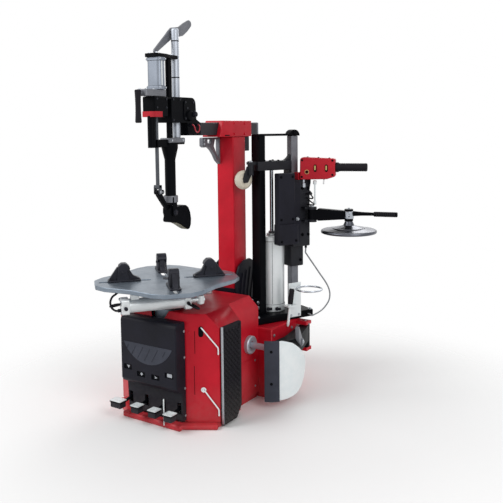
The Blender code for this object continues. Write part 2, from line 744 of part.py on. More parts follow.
def make_column():
    column = box((-COL_HALF_X, COL_FRONT, COL_BOTTOM), (COL_HALF_X, COL_BACK, COL_TOP), 0.006, 2)
    x, front, back = COL_HALF_X - COL_WALL, COL_FRONT + COL_WALL, COL_BACK - COL_WALL
    inside = box((-x, front, COL_BOTTOM - 0.05), (x, back, COL_TOP + 0.05))
    hole = rod(0.0148, (-0.1, *TILT_PIVOT), (0.1, *TILT_PIVOT))
    node("column", cut(column, inside, hole), "red_paint", "column")
    side = (
        (SLEEVE_FRONT + 0.030, SLEEVE_TOP),
        (SLEEVE_BACK, SLEEVE_TOP),
        (SLEEVE_BACK, SLEEVE_BOTTOM),
        (SLEEVE_FRONT, SLEEVE_BOTTOM),
    )
    sleeve = flat(side, 2 * SLEEVE_HALF_X, "YZ", 0.0, 0.005, (), 2)
    slot = ARM_HALF + FIT
    passage = box((-slot, SLEEVE_FRONT - 0.05, ARM_Z - slot), (slot, SLEEVE_BACK + 0.05, ARM_Z + slot))
    block = box((-0.045, 0.638, 1.318), (0.045, 0.684, SLEEVE_BOTTOM + 0.003))
    cut(sleeve, passage)
    node("arm_sleeve", joined(sleeve, block), "red_paint", "column")
    top, face = SLEEVE_BOTTOM - 0.003, COL_FRONT - GAP
    outline = [(face, top), (0.354, top), (0.350, 1.388), (0.350, 1.350), (0.366, 1.342), (0.388, 1.346)]
    outline += [(0.412, 1.340), (0.436, 1.324), (0.458, 1.300), (0.478, 1.270), (face, 1.246)]
    window = [(0.394, 1.384), (0.398, 1.366), (0.414, 1.356), (0.430, 1.364), (0.440, 1.384)]
    second = [(0.464, 1.384), (0.452, 1.348), (0.468, 1.318), (0.484, 1.292), (0.498, 1.284), (0.498, 1.384)]
    node("arm_brace", flat(outline, 0.024, "YZ", -0.042, 0.002, (window, second)), "cast_grey", "column")
    arm = box((-ARM_HALF, ARM_FRONT, ARM_Z - ARM_HALF), (ARM_HALF, ARM_BACK, ARM_Z + ARM_HALF), 0.004, 2)
    node("arm_tube", arm, "arm_grey", "arm")
    node("tool_housing", tool_housing(), "black_plastic", "arm")
    profile = ((0, 0.030), (0.011, 0.030), (0.014, 0.026), (0.014, 0.008), (0.006, 0.006))
    profile += ((0.006, 0), (0, 0))
    knob = turned(profile, (HOUSING_X + GAP, *KNOB_AT), "X")
    node("lock_knob", knob, "black_plastic", "lock_knob")


def tool_housing():
    y0, y1 = HOUSING_FRONT, HOUSING_BACK
    side = [(y0, HOUSING_BOTTOM), (0.128, HOUSING_BOTTOM), (0.134, 1.4095), (ARM_FRONT - GAP, 1.4095)]
    side += [(ARM_FRONT - GAP, 1.4735), (y1 + 0.010, 1.490)]
    side += arc((y1 - 0.025, HOUSING_TOP - 0.030), 0.030, 0, 90, 5)
    side += [(y0 + 0.010, HOUSING_TOP), (y0, HOUSING_TOP - 0.010)]
    housing = flat(side, 2 * HOUSING_X, "YZ", 0.0, 0.004)
    tube = rod(TUBE_R + FIT, (0, TUBE_Y, 1.40), (0, TUBE_Y, 1.70), FINE)
    post = rod(POST_R + FIT, (0, POST_Y, 1.40), (0, POST_Y, 1.70), FINE)
    return cut(housing, tube, post)


def make_tool():
    tube = rod(TUBE_R, (0, TUBE_Y, TUBE_BOTTOM), (0, TUBE_Y, TUBE_TOP), FINE, 0.001)
    pin = rod(0.007, (0, *LEVER_PIVOT), (-0.044, *LEVER_PIVOT))
    node("guide_tube", joined(tube, pin), "chrome", "tool")
    post = rod(POST_R, (0, POST_Y, TUBE_BOTTOM), (0, POST_Y, POST_TOP - 0.004), FINE)
    half = [(0.036, -0.088), (0.036, -0.010), (0.020, 0.040), (0.019, TUBE_Y)]
    plan = half + [(-x, y) for x, y in reversed(half)]
    top = flat(plan, 0.018, "XY", POST_TOP - 0.009, 0.002)
    clear = rod(TUBE_R + GAP, (0, TUBE_Y, 1.70), (0, TUBE_Y, 1.90), FINE)
    node("guide_post", cut(joined(post, top), clear), "black_paint", "tool")
    cylinder = box((-0.0425, -0.077, 1.631), (0.0425, -0.022, POST_TOP - 0.018 - GAP), 0.004)
    node("tool_cylinder", cylinder, "aluminium", "tool")
    plate = box((-0.032, -0.160, 1.598), (0.032, -0.010, 1.631 - GAP), 0.004)
    neck = rod(0.012, (0, -0.150, 1.612), (0, GRIP_Y, 1.612))
    grip = turned(
        (
            (0, 1.626),
            (GRIP_R - 0.003, 1.626),
            (GRIP_R, 1.620),
            (GRIP_R - 0.002, 1.545),
            (GRIP_R, 1.480),
            (GRIP_R - 0.003, 1.472),
            (0, 1.472),
        ),
        (0, GRIP_Y, 0),
    )
    node("handle_bracket", joined(plate, neck, grip), "black_plastic", "tool")
    block = box((-0.040, -0.108, 1.500), (0.040, -0.012, 1.598 - GAP), 0.005, 2)
    cover = rod(ROD_COVER_R, (0, ROD_COVER_Y, 1.353), (0, ROD_COVER_Y, 1.505))
    bore = rod(LINK_R + FIT, (0, LINK_Y, 1.45), (0, LINK_Y, 1.560))
    node("slide_block", cut(joined(block, cover), bore), "black_plastic", "tool")
    node("tool_column", tool_column(), "black_paint", "tool")
    rod_obj = rod(LINK_R, (0, LINK_Y, 1.152), (0, LINK_Y, 1.525))
    node("link_rod", rod_obj, "cast_grey", "link_rod")
    node("mount_claw", claw(), "black_plastic", "claw")
    node("top_lever", top_lever(), "cast_grey", "top_lever")


def tool_column():
    made = turned(
        (
            (0, 1.372),
            (0.041, 1.372),
            (0.041, 1.350),
            (0.034, 1.320),
            (TOOL_R, 1.292),
            (TOOL_R, 1.102),
            (0.0235, 1.100),
            (0.0235, 1.074),
            (0, 1.074),
        ),
        (0, TOOL_Y, 0),
    )
    head = box((-0.030, 0.004, 1.366), (0.030, 0.124, TUBE_BOTTOM - GAP), 0.003)
    clamp = box((-0.020, ROD_COVER_Y + ROD_COVER_R + GAP, 1.354), (0.020, 0.030, 1.392), 0.002)
    passage = rod(LINK_R + FIT, (0, LINK_Y, 1.30), (0, LINK_Y, 1.45))
    cut(clamp, passage)
    y, z = CLAW_PIVOT
    cheeks = []
    for side in (-1, 1):
        x = side * (CLAW_HALF_X + 0.0052)
        cheeks.append(box((x - 0.004, y - 0.016, z - 0.018), (x + 0.004, y + 0.016, 1.108), 0.002))
    pin = rod(0.007, (-CLAW_HALF_X - 0.011, y, z), (CLAW_HALF_X + 0.011, y, z))
    collar = turned(((0, 1.112), (0.034, 1.112), (0.034, 1.088), (0, 1.088)), (0, TOOL_Y, 0))
    return joined(made, head, clamp, collar, *cheeks, pin)


def claw():
    y, z = CLAW_PIVOT
    outline = [(0.004, 0.994), (0.010, 1.012), (0.004, 1.030), (0.005, 1.052)]
    outline += arc(CLAW_PIVOT, 0.036, 135, 45, 7)
    outline += [(0.092, 1.060), (0.130, 1.058), (0.150, 1.046), (0.164, 1.020), (0.171, 0.985)]
    outline += [(0.168, 0.955), (0.158, 0.936), (0.146, 0.932), (0.120, 0.944), (0.085, 0.964)]
    outline += [(0.055, 0.976), (0.020, 0.980), (0.006, 0.985)]
    made = flat(outline, 2 * CLAW_HALF_X, "YZ", 0.0, 0.006)
    horn = [(-0.064, 1.124), (-0.066, 1.138), (-0.056, 1.149), (-0.045, 1.143), (0.004, 1.068), (0.022, 1.050)]
    horn += [(0.014, 1.034), (-0.002, 1.050)]
    joined(made, flat(horn, 0.024, "YZ", 0.0, 0.003))
    return cut(made, rod(0.0078, (-0.05, y, z), (0.05, y, z)))


def top_lever():
    """A flat hand lever from a rounded end, past an eye on the guide tube, to a broad paddle."""
    y, z = LEVER_PIVOT
    outline = arc((-0.022, 1.818), 0.010, 310, 130, 6)
    outline += [(0.062, 1.908), (0.080, 1.926)]
    outline += arc((y + 0.010, z + 0.008), 0.024, 130, 90, 4)
    outline += [(0.160, 1.952), (0.200, 1.976)]
    outline += arc((0.242, 1.976), 0.019, 100, -60, 7)
    outline += [(0.226, 1.936), (0.190, 1.911), (0.150, 1.902), (0.118, 1.898)]
    made = flat(outline, 0.012, "YZ", -TUBE_R - 0.009, 0.002)
    return cut(made, rod(0.0078, (-0.06, y, z), (0, y, z)))


# Bead breaker


def blade_plan():
    nose = [(0.378, 0.306), (0.410, 0.319), (0.440, 0.346), (0.462, 0.386)]
    return nose + [(0.474, 0.432), (0.480, 0.490), (0.478, 0.548)]


def thick_path(points, offset, thickness):
    """The outline of a bent sheet that follows a plan path at a distance."""
    left, right = [], []
    for i, point in enumerate(points):
        a = Vector(points[max(i - 1, 0)])
        b = Vector(points[min(i + 1, len(points) - 1)])
        along = (b - a).normalized()
        across = Vector((along.y, -along.x))
        left.append(tuple(Vector(point) + across * offset))
        right.append(tuple(Vector(point) + across * (offset + thickness)))
    return left + right[::-1]


def make_bead_breaker():
    z0, z1 = BLADE_Z
    middle = (z0 + z1) / 2
    sheet = flat(thick_path(blade_plan(), 0.0, BLADE_T), z1 - z0, "XY", middle)
    rounded = [(0.280, z1), (0.360, z1 - 0.002), (0.420, 0.336), (0.470, 0.302), (0.510, 0.268), (0.536, 0.236)]
    rounded += [(0.545, 0.200), (0.540, 0.160), (0.525, 0.120), (0.500, 0.086), (0.465, 0.062), (0.420, 0.050)]
    rounded += [(0.360, z0), (0.280, z0)]
    keep = flat(rounded, 0.4, "YZ", 0.45)
    made = boolean(sheet, [keep], "INTERSECT")
    node("bead_blade", made, "blade_steel", "bead_arm")
    guard = flat(thick_path(blade_plan()[:3], BLADE_T + GAP, 0.008), z1 - z0 + 0.006, "XY", middle, 0.002)
    node("blade_guard", guard, "vent_grey", "bead_arm")
    node("bead_arm", bead_arm(), "arm_grey", "bead_arm")
    y, z = BEAD_ROD_Y, BEAD_ROD_Z
    bar = rod(BEAD_ROD_R, (0.120, y, z), (0.384, y, z), ROUND, 0.001)
    threaded = rod(0.007, (0.380, y, z), (0.408, y, z))
    node("bead_rod", joined(bar, threaded), "chrome", "bead_rod")


def bead_arm():
    """A flat sided arm from the pivot sleeve to the blade's inner side, slotted for the piston rod."""
    x, y = BEAD_PIVOT
    inner = thick_path(blade_plan(), -GAP, 0.0)[:6]
    plan = [(x - 0.024, y), (x + 0.024, y), *reversed(inner[1:]), (0.406, 0.344), (0.409, 0.460)]
    arm = flat(plan, 0.090, "XY", 0.305)
    sleeve = rod(0.026, (x, y, 0.2236), (x, y, 0.3514))
    hole = rod(0.0118, (x, y, 0.15), (x, y, 0.42))
    y, z = BEAD_ROD_Y, BEAD_ROD_Z
    slot = box((0.380, y - 0.017, z - 0.014), (0.462, y + 0.020, z + 0.014))
    return cut(joined(arm, sleeve), hole, slot)


# Helper


def make_helper():
    base = helper_box((-0.085, -0.085, CHASSIS_TOP + GAP), (0.090, 0.290, HELPER_BASE_TOP), 0.005)
    wing = helper_box((-0.114, 0.024, CHASSIS_TOP + 0.006), (-0.080, 0.164, HELPER_BASE_TOP), 0.003)
    inner, outer = helper_point(0.085, HOSE_END_T), helper_point(0.102, HOSE_END_T)
    gland = rod(0.007, (*inner, 0.406), (*outer, 0.406))
    node("helper_base", joined(base, wing, gland), "black_paint")
    s, t = HELPER_POST
    low, high = POST_S - s / 2, POST_S + s / 2
    post = helper_box((low, -t / 2, HELPER_BASE_TOP + GAP), (high, t / 2, HELPER_TOP - 0.004), 0.003)
    top = helper_box((-0.050, -0.022, HELPER_TOP - 0.012), (0.026, RAIL_T, HELPER_TOP), 0.002)
    head = arc((RAIL_T, HELPER_TOP - 0.012), 0.034, 0, 180, 9)
    head = placed(flat(head, 0.050, "YZ", 0.0, 0.002), HELPER_TURN, HELPER_AT)
    node("helper_post", joined(post, top, head), "black_paint")
    at = helper_point(LIFT_S, LIFT_T)
    z0, z1 = LIFT_Z
    lift = turned(
        (
            (0, z1),
            (0.030, z1),
            (0.030, z1 - 0.012),
            (LIFT_R, z1 - 0.014),
            (LIFT_R, z1 - 0.040),
            (LIFT_R - 0.003, z1 - 0.042),
            (LIFT_R - 0.003, z0 + 0.040),
            (LIFT_R, z0 + 0.038),
            (LIFT_R, z0),
            (0, z0),
        ),
        (*at, 0),
        "Z",
        FINE,
    )
    bore = rod(0.011 + FIT, (*at, 0.520), (*at, 0.90))
    node("lift_cylinder", cut(lift, bore), "aluminium")
    w = RAIL_W / 2
    top = HELPER_TOP - 0.012 - GAP
    rail = helper_box((-w, RAIL_T - w, HELPER_BASE_TOP + GAP), (w, RAIL_T + w, top), 0.003)
    node("guide_rail", rail, "chrome")
    node("carriage_frame", carriage_frame(), "arm_grey", "carriage")
    node("carriage_cover", carriage_cover(), "black_plastic", "carriage")
    piston = rod(0.011, (*at, 0.700), (*at, BAR_Z[0] - GAP))
    node("lift_piston_rod", piston, "chrome", "carriage")
    make_controls()
    make_disc()
    make_roller()
    make_store()


def carriage_frame():
    """The cross bar, its collar round the post, the neck and the sleeve round the guide rail."""
    z0, z1 = BAR_Z
    s, t = HELPER_POST
    bar = helper_box((-0.052, 0.010, z0), (0.028, 0.188, z1), 0.003)
    low, high = POST_S - s / 2, POST_S + s / 2
    collar = helper_box((low - 0.012, -0.036, z0 + 0.001), (high + 0.012, 0.036, z1 - 0.001))
    clear = helper_box((low - FIT, -t / 2 - FIT, z0 - 0.05), (high + FIT, t / 2 + FIT, z1 + 0.05))
    neck = helper_box((-0.026, 0.170, 1.100), (0.026, 0.187, z0 + 0.004))
    sleeve = helper_box((-0.040, 0.1695, 0.785), (0.066, 0.285, 1.158), 0.004)
    lower = helper_box((-0.036, 0.171, 0.672), (0.042, 0.256, 0.789), 0.004)
    edge = RAIL_T - RAIL_W / 2 - FIT
    rise = [(0.132, z1 - 0.004), (edge, z1 - 0.004), (edge, z1 + 0.034), (0.176, z1 + 0.016), (0.158, z1 + 0.004)]
    gusset = placed(flat(rise, 0.024, "YZ", 0.0), HELPER_TURN, HELPER_AT)
    w = RAIL_W / 2 + FIT
    rail = helper_box((-w, RAIL_T - w, 0.55), (w, RAIL_T + w, 1.30))
    lug = helper_box((-0.018, ROLLER_PIVOT_T - 0.018, z1 - 0.016), (0.018, -0.030, z1 - 0.002))
    ears = []
    for z in (0.924, 0.994):
        ear = rod(0.026, (*DISC_ARM_AT, z), (*DISC_ARM_AT, z + 0.014))
        arm = helper_box((0.050, 0.225, z + 0.001), (0.100, 0.262, z + 0.013))
        ears += [ear, arm]
    pin = rod(0.010, (*DISC_ARM_AT, 0.926), (*DISC_ARM_AT, 1.006))
    gland = rod(0.007, (*helper_point(*HOSE_TOP), 0.791), (*helper_point(*HOSE_TOP), 0.773))
    joined(bar, collar, neck, sleeve, lower, lug, gusset, *ears, pin, gland)
    return cut(bar, clear, rail)


def carriage_cover():
    """A moulded cover beside the lift cylinder, wider in its lower third."""
    cover = helper_box((0.0668, 0.044, 0.905), (0.112, 0.152, 1.200), 0.006, 2)
    lower = helper_box((0.0665, 0.040, 0.811), (0.122, 0.166, 0.925), 0.006, 2)
    back = helper_box((0.0664, 0.120, 0.818), (0.090, 0.200, 1.150))
    return joined(cover, lower, back)


def make_controls():
    low = 1.158 + GAP
    outline = [(0, low + 0.008), (0.006, low), (0.150, low + 0.004), (0.188, low + 0.016), (0.194, low + 0.024)]
    outline += [(0.194, low + 0.110), (0.186, low + 0.116), (0.014, low + 0.124), (0.002, low + 0.114)]
    control = placed(flat(outline, 0.062, "XZ", 0.0, 0.004), CTRL_TURN, CTRL_AT)
    foot = helper_box((0.0265, 0.205, low), (0.064, 0.262, low + 0.040))
    node("control_box", joined(control, foot), "red_paint", "carriage")
    at = 0.194 + GAP
    z = low + 0.068
    profile = ((0, 0.172), (0.018, 0.172), (0.0225, 0.166), (0.0225, 0.020), (0.027, 0.016))
    profile += ((0.027, 0.002), (0.020, 0), (0, 0))
    grip = turned(profile, (at, 0, z), "X")
    node("control_grip", placed(grip, CTRL_TURN, CTRL_AT), "black_plastic", "carriage")
    profile = ((0, 1.154), (0.010, 1.152), (0.010, 1.134), (0.0045, 1.128), (0.0045, 1.040))
    profile += ((0.008, 1.036), (0.008, 1.020), (0, 1.020))
    lever = turned(profile, (*ctrl_point(0.080, 0.0), 0), "Z")
    node("valve_lever", lever, "chrome", "valve_lever")


def make_disc():
    length = DISC_ARM_L
    eye = rod(0.024, (0, 0, 0.9384), (0, 0, 0.9936))
    side = [(0.006, 0.944), (0.029, 0.940), (0.036, 0.932), (length - 0.010, 0.945), (length - 0.010, 0.990)]
    side += [(0.036, 1.000), (0.029, 0.992), (0.006, 0.988)]
    bar = flat(side, 0.040, "XZ", 0.0, 0.003)
    head = rod(0.024, (length, 0, 0.936), (length, 0, 1.000))
    handle = rod(0.008, (length + 0.010, 0, 0.976), (length + 0.150, 0, 0.976))
    grip = rod(0.0135, (length + 0.135, 0, 0.976), (length + 0.262, 0, 0.976), ROUND, 0.003)
    for piece in (eye, bar, head, handle, grip):
        placed(piece, DISC_ARM_TURN, DISC_ARM_AT)
    hole = rod(0.0108, (*DISC_ARM_AT, 0.90), (*DISC_ARM_AT, 1.05))
    node("disc_arm", cut(joined(bar, eye, head, handle, grip), hole), "black_paint", "disc_arm")
    profile = (
        (0, 0.936 - GAP),
        (0.020, 0.936 - GAP),
        (0.030, 0.912),
        (0.080, 0.896),
        (DISC_R - 0.008, 0.886),
        (DISC_R, 0.880),
        (DISC_R, 0.874),
        (DISC_R - 0.010, 0.868),
        (0.060, 0.880),
        (0, 0.880),
    )
    node("press_disc", turned(profile, (*disc_centre(), 0), "Z", 32), "chrome", "press_disc")


def make_roller():
    at = helper_point(0, ROLLER_PIVOT_T)
    along, across, z = ROLLER_AT
    boss = rod(0.015, (*at, 1.190), (*at, BAR_Z[1] - 0.016 - GAP))
    outline = [(ROLLER_PIVOT_T + 0.012, 1.196), (ROLLER_PIVOT_T + 0.012, 1.238), (ROLLER_PIVOT_T - 0.018, 1.238)]
    outline += [(across - 0.016, z + 0.008), (across - 0.012, z - 0.015), (across + 0.012, z - 0.015)]
    plate = placed(flat(outline, 0.010, "YZ", -0.0135, 0.002), HELPER_TURN, HELPER_AT)
    axle = placed(rod(0.009, (-0.012, across, z), (along - 0.022, across, z)), HELPER_TURN, HELPER_AT)
    node("roller_arm", joined(plate, boss, axle), "arm_grey", "roller_arm")
    profile = [(0.0098, 0.0155), (0.040, 0.0155), (0.050, 0.007), (0.052, -0.005)]
    profile += [(0.046, -0.0155), (0.0098, -0.0155)]
    wheel = turned(profile, ROLLER_AT, "X", FINE, True)
    node("press_roller", placed(wheel, HELPER_TURN, HELPER_AT), "nylon", "press_roller")


def make_store():
    """The holder plate with its ring, the stored lever and the hanging hose."""
    plate = helper_box((0.0904, 0.118, 0.400), (0.0950, 0.200, 0.592), 0.001)
    ring_at = helper_point(0.172, 0.200)
    section = arc((0.0695, RING_Z), 0.0045, 0, 300, 6)
    ring = turned(section, (*ring_at, 0), "Z", FINE, True)
    stub = rod(0.004, (*helper_point(0.093, 0.180), RING_Z), (*helper_point(0.105, 0.186), RING_Z), 12)
    hook = helper_box((0.094, 0.086, 0.470), (0.138, 0.146, 0.478))
    low, high = stored_ends()
    clear = rod(0.0092, low, high)
    node("tool_holder", cut(joined(plate, ring, stub, hook), clear), "cast_grey")
    profile = ((0, 0.2064), (0.010, 0.2064), (0.0145, 0.198), (0.0145, 0.129), (0.0122, 0.1213))
    profile += ((0.0075, 0.121), (0.0075, 0.014), (0.004, 0), (0, 0))
    lever = turned(profile)
    turn = Vector((0, 0, 1)).rotation_difference(high - low).to_matrix().to_4x4()
    lever.matrix_world = Matrix.Translation(low) @ turn @ world_of(lever)
    node("stored_lever", lever, "blade_steel", "stored_lever")
    node("air_hose", pipe(smooth_route(hose_stations(), 40), 0.0042), "vent_grey")
    node("clamp_hose", pipe(smooth_route(clamp_hose_stations(), 18), 0.0055), "rubber", "turntable")


def stored_ends():
    """The lower and upper end of the stored lever, which leans against its hook."""
    ends = (STORED_LOW, STORED_HIGH)
    return [Vector((*helper_point(along, across), z)) for along, across, z in ends]


def hose_stations():
    """From the gland under the carriage sleeve, out and down, and back to the gland on the base's edge."""
    start = helper_point(*HOSE_TOP)
    return [
        (*start, 0.7726),
        (*start, 0.7590),
        (*start, 0.7440),
        (start[0] + 0.044, start[1] + 0.056, 0.640),
        (start[0] + 0.086, start[1] + 0.106, 0.540),
        (start[0] + 0.092, start[1] + 0.112, 0.470),
        (start[0] + 0.076, start[1] + 0.064, 0.418),
        (*helper_point(0.142, HOSE_END_T), 0.406),
        (*helper_point(0.122, HOSE_END_T), 0.406),
        (*helper_point(0.1024, HOSE_END_T), 0.406),
    ]


def clamp_hose_stations():
    """A loop from the front clamp cylinder's cap round to the hub."""
    c, s = math.cos(CLAMP_DIR), math.sin(CLAMP_DIR)

    def at(along, across, z):
        return (along * c + across * s, along * s - across * c, z)

    cap = CLAMP_SHIFT - CLAMP_L / 2 - 0.016 - GAP
    high = CLAMP_Z + 0.010
    low = CLAMP_Z + 0.004
    hub = [at(-r * 0.809, r * 0.588, low) for r in (0.098, 0.082, HUB_R + 0.0006)]
    return [
        at(cap, CLAMP_OFFSET, high),
        at(cap - 0.013, CLAMP_OFFSET, high),
        at(cap - 0.026, CLAMP_OFFSET, high),
        at(cap - 0.044, CLAMP_OFFSET - 0.022, CLAMP_Z),
        at(cap - 0.030, CLAMP_OFFSET - 0.052, CLAMP_Z - 0.010),
        at(cap + 0.050, CLAMP_OFFSET - 0.064, CLAMP_Z - 0.002),
        *hub,
    ]


make_bodies()
make_turntable()
make_cabinet()
make_column()
make_tool()
make_bead_breaker()
make_helper()
BODIES["machine"].location = (-PLAN_CENTRE[0], -PLAN_CENTRE[1], 0)
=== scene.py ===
"""Finishes, fine forms and fittings of a tyre changer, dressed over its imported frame.

Sizes are in metres. Places are written from the turntable's axis on the floor, X to the operator's
right and Y to the back, and PLAN carries them to the frame's own origin.
"""
import logging
import math
from dataclasses import dataclass
from enum import Enum
from typing import Sequence

import bmesh
import bpy
from mathutils import Matrix, Vector


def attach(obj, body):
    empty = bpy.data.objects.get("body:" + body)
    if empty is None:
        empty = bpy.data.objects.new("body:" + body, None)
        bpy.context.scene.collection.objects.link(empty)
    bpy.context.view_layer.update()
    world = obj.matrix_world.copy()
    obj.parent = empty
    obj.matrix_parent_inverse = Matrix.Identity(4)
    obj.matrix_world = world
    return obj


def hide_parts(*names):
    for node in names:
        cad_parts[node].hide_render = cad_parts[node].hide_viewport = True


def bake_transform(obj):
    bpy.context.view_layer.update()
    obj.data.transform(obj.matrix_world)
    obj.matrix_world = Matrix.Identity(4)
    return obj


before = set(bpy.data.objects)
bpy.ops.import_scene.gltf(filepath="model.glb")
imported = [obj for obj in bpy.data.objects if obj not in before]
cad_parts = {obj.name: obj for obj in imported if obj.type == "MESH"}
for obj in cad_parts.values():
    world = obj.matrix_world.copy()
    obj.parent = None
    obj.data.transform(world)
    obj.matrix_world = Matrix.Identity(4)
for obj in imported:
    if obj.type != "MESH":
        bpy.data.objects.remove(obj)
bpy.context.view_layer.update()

PLAN = Vector((0.26815, 0.3259, 0.0))
LOG = logging.getLogger("tyre_changer")
Point = Sequence[float]
Spot = tuple[Point, Point]


def turned_frame(x: float, y: float, degrees: float) -> Matrix:
    """A frame that stands on the floor at a plan point, turned about the vertical."""
    return Matrix.Translation((x, y, 0.0)) @ Matrix.Rotation(math.radians(degrees), 4, "Z")


HELPER = turned_frame(0.200, 0.560, -25.0)
CONTROL = turned_frame(0.345, 0.745, 20.0)
DISC = turned_frame(0.408, 0.762, 15.0)
PANEL = turned_frame(0.25, -0.0453, 30.65)
CLAMP_TURN = 52.0
CLAMP = turned_frame(0.0, 0.0, CLAMP_TURN)
CLAMP_OFFSET = 0.132
CLAMP_LEVEL = 0.612

# Ways in the machine's frame, or in a turned frame where a form is drawn in one.
RIGHT = (1, 0, 0)
LEFT = (-1, 0, 0)
BACK = (0, 1, 0)
FRONT = (0, -1, 0)
UP = (0, 0, 1)
DOWN = (0, 0, -1)
ORIGIN = (0, 0, 0)
# The left and the right of the machine's middle.
SIDES = (-1, 1)
# How many sides a bolt's head has.
HEX_HEAD = 6
ROUND_HEAD = 12


def linear(code: str) -> tuple[float, float, float, float]:
    """Turns an sRGB hex colour into linear light.

    Args:
        code: Six hex digits after a hash sign.

    Returns:
        Linear red, green and blue, and an alpha of one.
    """
    parts = [int(code[i:i + 2], 16) / 255 for i in (1, 3, 5)]
    light = [c / 12.92 if c <= 0.04045 else ((c + 0.055) / 1.055) ** 2.4 for c in parts]
    return (*light, 1.0)


def add(tree: bpy.types.NodeTree, kind: str, given: dict | None = None,
        **settings: object) -> bpy.types.Node:
    """Adds one node to a tree.

    Args:
        tree: The shader or geometry tree.
        kind: The node's type name.
        given: Input name or number to a value, or to the output socket that feeds it.
        settings: Attributes of the node itself.

    Returns:
        The new node.
    """
    node = tree.nodes.new(kind)
    for key, value in settings.items():
        setattr(node, key, value)
    for key, value in (given or {}).items():
        if isinstance(value, bpy.types.NodeSocket):
            tree.links.new(value, node.inputs[key])
        else:
            node.inputs[key].default_value = value
    return node


class Relief(Enum):
    """How a surface was made, which sets the fine relief that light picks out."""

    SPRAYED = "sprayed"
    MOULDED = "moulded"
    CAST = "cast"
    DRAWN = "drawn"
    GROUND = "ground"


@dataclass(frozen=True)
class Finish:
    """A finish: its two tones, its gloss, and the relief that its making left.

    Sizes of patch, grain and depth are in millimetres.
    """

    name: str
    slot: str
    colour: str
    shade: str
    roughness: float
    spread: float
    relief: Relief
    grain: float
    depth: float
    metallic: float = 0.0
    patch: float = 120.0
    coat: float = 0.0
    dust: float = 0.0
    sheen: float = 0.5

    def height(self, tree: bpy.types.NodeTree, coords: bpy.types.NodeSocket) -> bpy.types.NodeSocket:
        """Makes the relief's height pattern.

        Args:
            tree: The material's tree.
            coords: Object coordinates in metres.

        Returns:
            A value socket from 0 to 1.
        """
        scale = 1000.0 / self.grain
        if self.relief is Relief.MOULDED:
            return add(tree, "ShaderNodeTexVoronoi", {"Vector": coords, "Scale": scale},
                       feature="SMOOTH_F1").outputs["Distance"]
        detail = {Relief.SPRAYED: 1.0, Relief.CAST: 5.0}.get(self.relief, 3.0)
        if self.relief in (Relief.DRAWN, Relief.GROUND):
            stretch = (1.0, 1.0, 0.02) if self.relief is Relief.DRAWN else (0.05, 0.6, 1.0)
            turn = (0.0, 0.0, 0.0) if self.relief is Relief.DRAWN else (0.0, 0.0, 0.8)
            coords = add(tree, "ShaderNodeMapping",
                         {"Vector": coords, "Scale": stretch, "Rotation": turn}).outputs["Vector"]
        return add(tree, "ShaderNodeTexNoise",
                   {"Vector": coords, "Scale": scale, "Detail": detail}).outputs["Fac"]

    def material(self) -> bpy.types.Material:
        """Makes the material, once.

        Returns:
            The finish's material.
        """
        known = bpy.data.materials.get(self.name)
        if known:
            return known
        made = bpy.data.materials.new(self.name)
        made.use_nodes = True
        tree = made.node_tree
        shader = tree.nodes["Principled BSDF"]
        coords = add(tree, "ShaderNodeTexCoord").outputs["Object"]
        patches = add(tree, "ShaderNodeTexNoise",
                      {"Vector": coords, "Scale": 1000.0 / self.patch, "Detail": 4.0, "Roughness": 0.6})
        spread = add(tree, "ShaderNodeMapRange",
                     {"Value": patches.outputs["Fac"], "From Min": 0.32, "From Max": 0.68}).outputs["Result"]
        tone = add(tree, "ShaderNodeMix", {0: spread, 6: linear(self.colour), 7: linear(self.shade)},
                   data_type="RGBA").outputs[2]
        if self.dust:
            tone = self.dusted(tree, coords, tone)
        tree.links.new(tone, shader.inputs["Base Color"])
        height = self.height(tree, coords)
        source = height if self.relief in (Relief.DRAWN, Relief.GROUND) else patches.outputs["Fac"]
        gloss = add(tree, "ShaderNodeMapRange", {
            "Value": source, "From Min": 0.25, "From Max": 0.75,
            "To Min": self.roughness - self.spread, "To Max": self.roughness + self.spread})
        tree.links.new(gloss.outputs["Result"], shader.inputs["Roughness"])
        bump = add(tree, "ShaderNodeBump", {"Height": height, "Distance": self.depth / 1000.0})
        tree.links.new(bump.outputs["Normal"], shader.inputs["Normal"])
        shader.inputs["Metallic"].default_value = self.metallic
        shader.inputs["Coat Weight"].default_value = self.coat
        shader.inputs["Specular IOR Level"].default_value = self.sheen
        shader.inputs["Coat Roughness"].default_value = 0.12
        return made

    def dusted(self, tree: bpy.types.NodeTree, coords: bpy.types.NodeSocket,
               tone: bpy.types.NodeSocket) -> bpy.types.NodeSocket:
        """Lays workshop dust over the lowest part of the surface.

        Args:
            tree: The material's tree.
            coords: Object coordinates in metres.
            tone: The clean colour.

        Returns:
            The dusted colour.
        """
        up = add(tree, "ShaderNodeSeparateXYZ", {"Vector": coords}).outputs["Z"]
        near = add(tree, "ShaderNodeMapRange",
                   {"Value": up, "From Min": 0.0, "From Max": 0.22, "To Min": self.dust, "To Max": 0.0})
        specks = add(tree, "ShaderNodeTexNoise", {"Vector": coords, "Scale": 45.0, "Detail": 6.0})
        share = add(tree, "ShaderNodeMath",
                    {0: near.outputs["Result"], 1: specks.outputs["Fac"]}, operation="MULTIPLY")
        return add(tree, "ShaderNodeMix", {0: share.outputs[0], 6: tone, 7: linear("#8C8681")},
                   data_type="RGBA").outputs[2]


# Sprayed enamel: a deep red with a soft orange peel and a glossy skin.
ENAMEL_RED = Finish("enamel_red", "red_paint", "#CC1B2E", "#BB1728", 0.36, 0.06, Relief.SPRAYED, 2.2, 0.02,
                    coat=0.04, dust=0.30, sheen=0.16)
# Red mouldings of the control box and the slide's band: the same red, flatter.
MOULDED_RED = Finish("moulded_red", "red_plastic", "#BE2230", "#AC1B29", 0.45, 0.06, Relief.MOULDED,
                     1.4, 0.02, sheen=0.2)
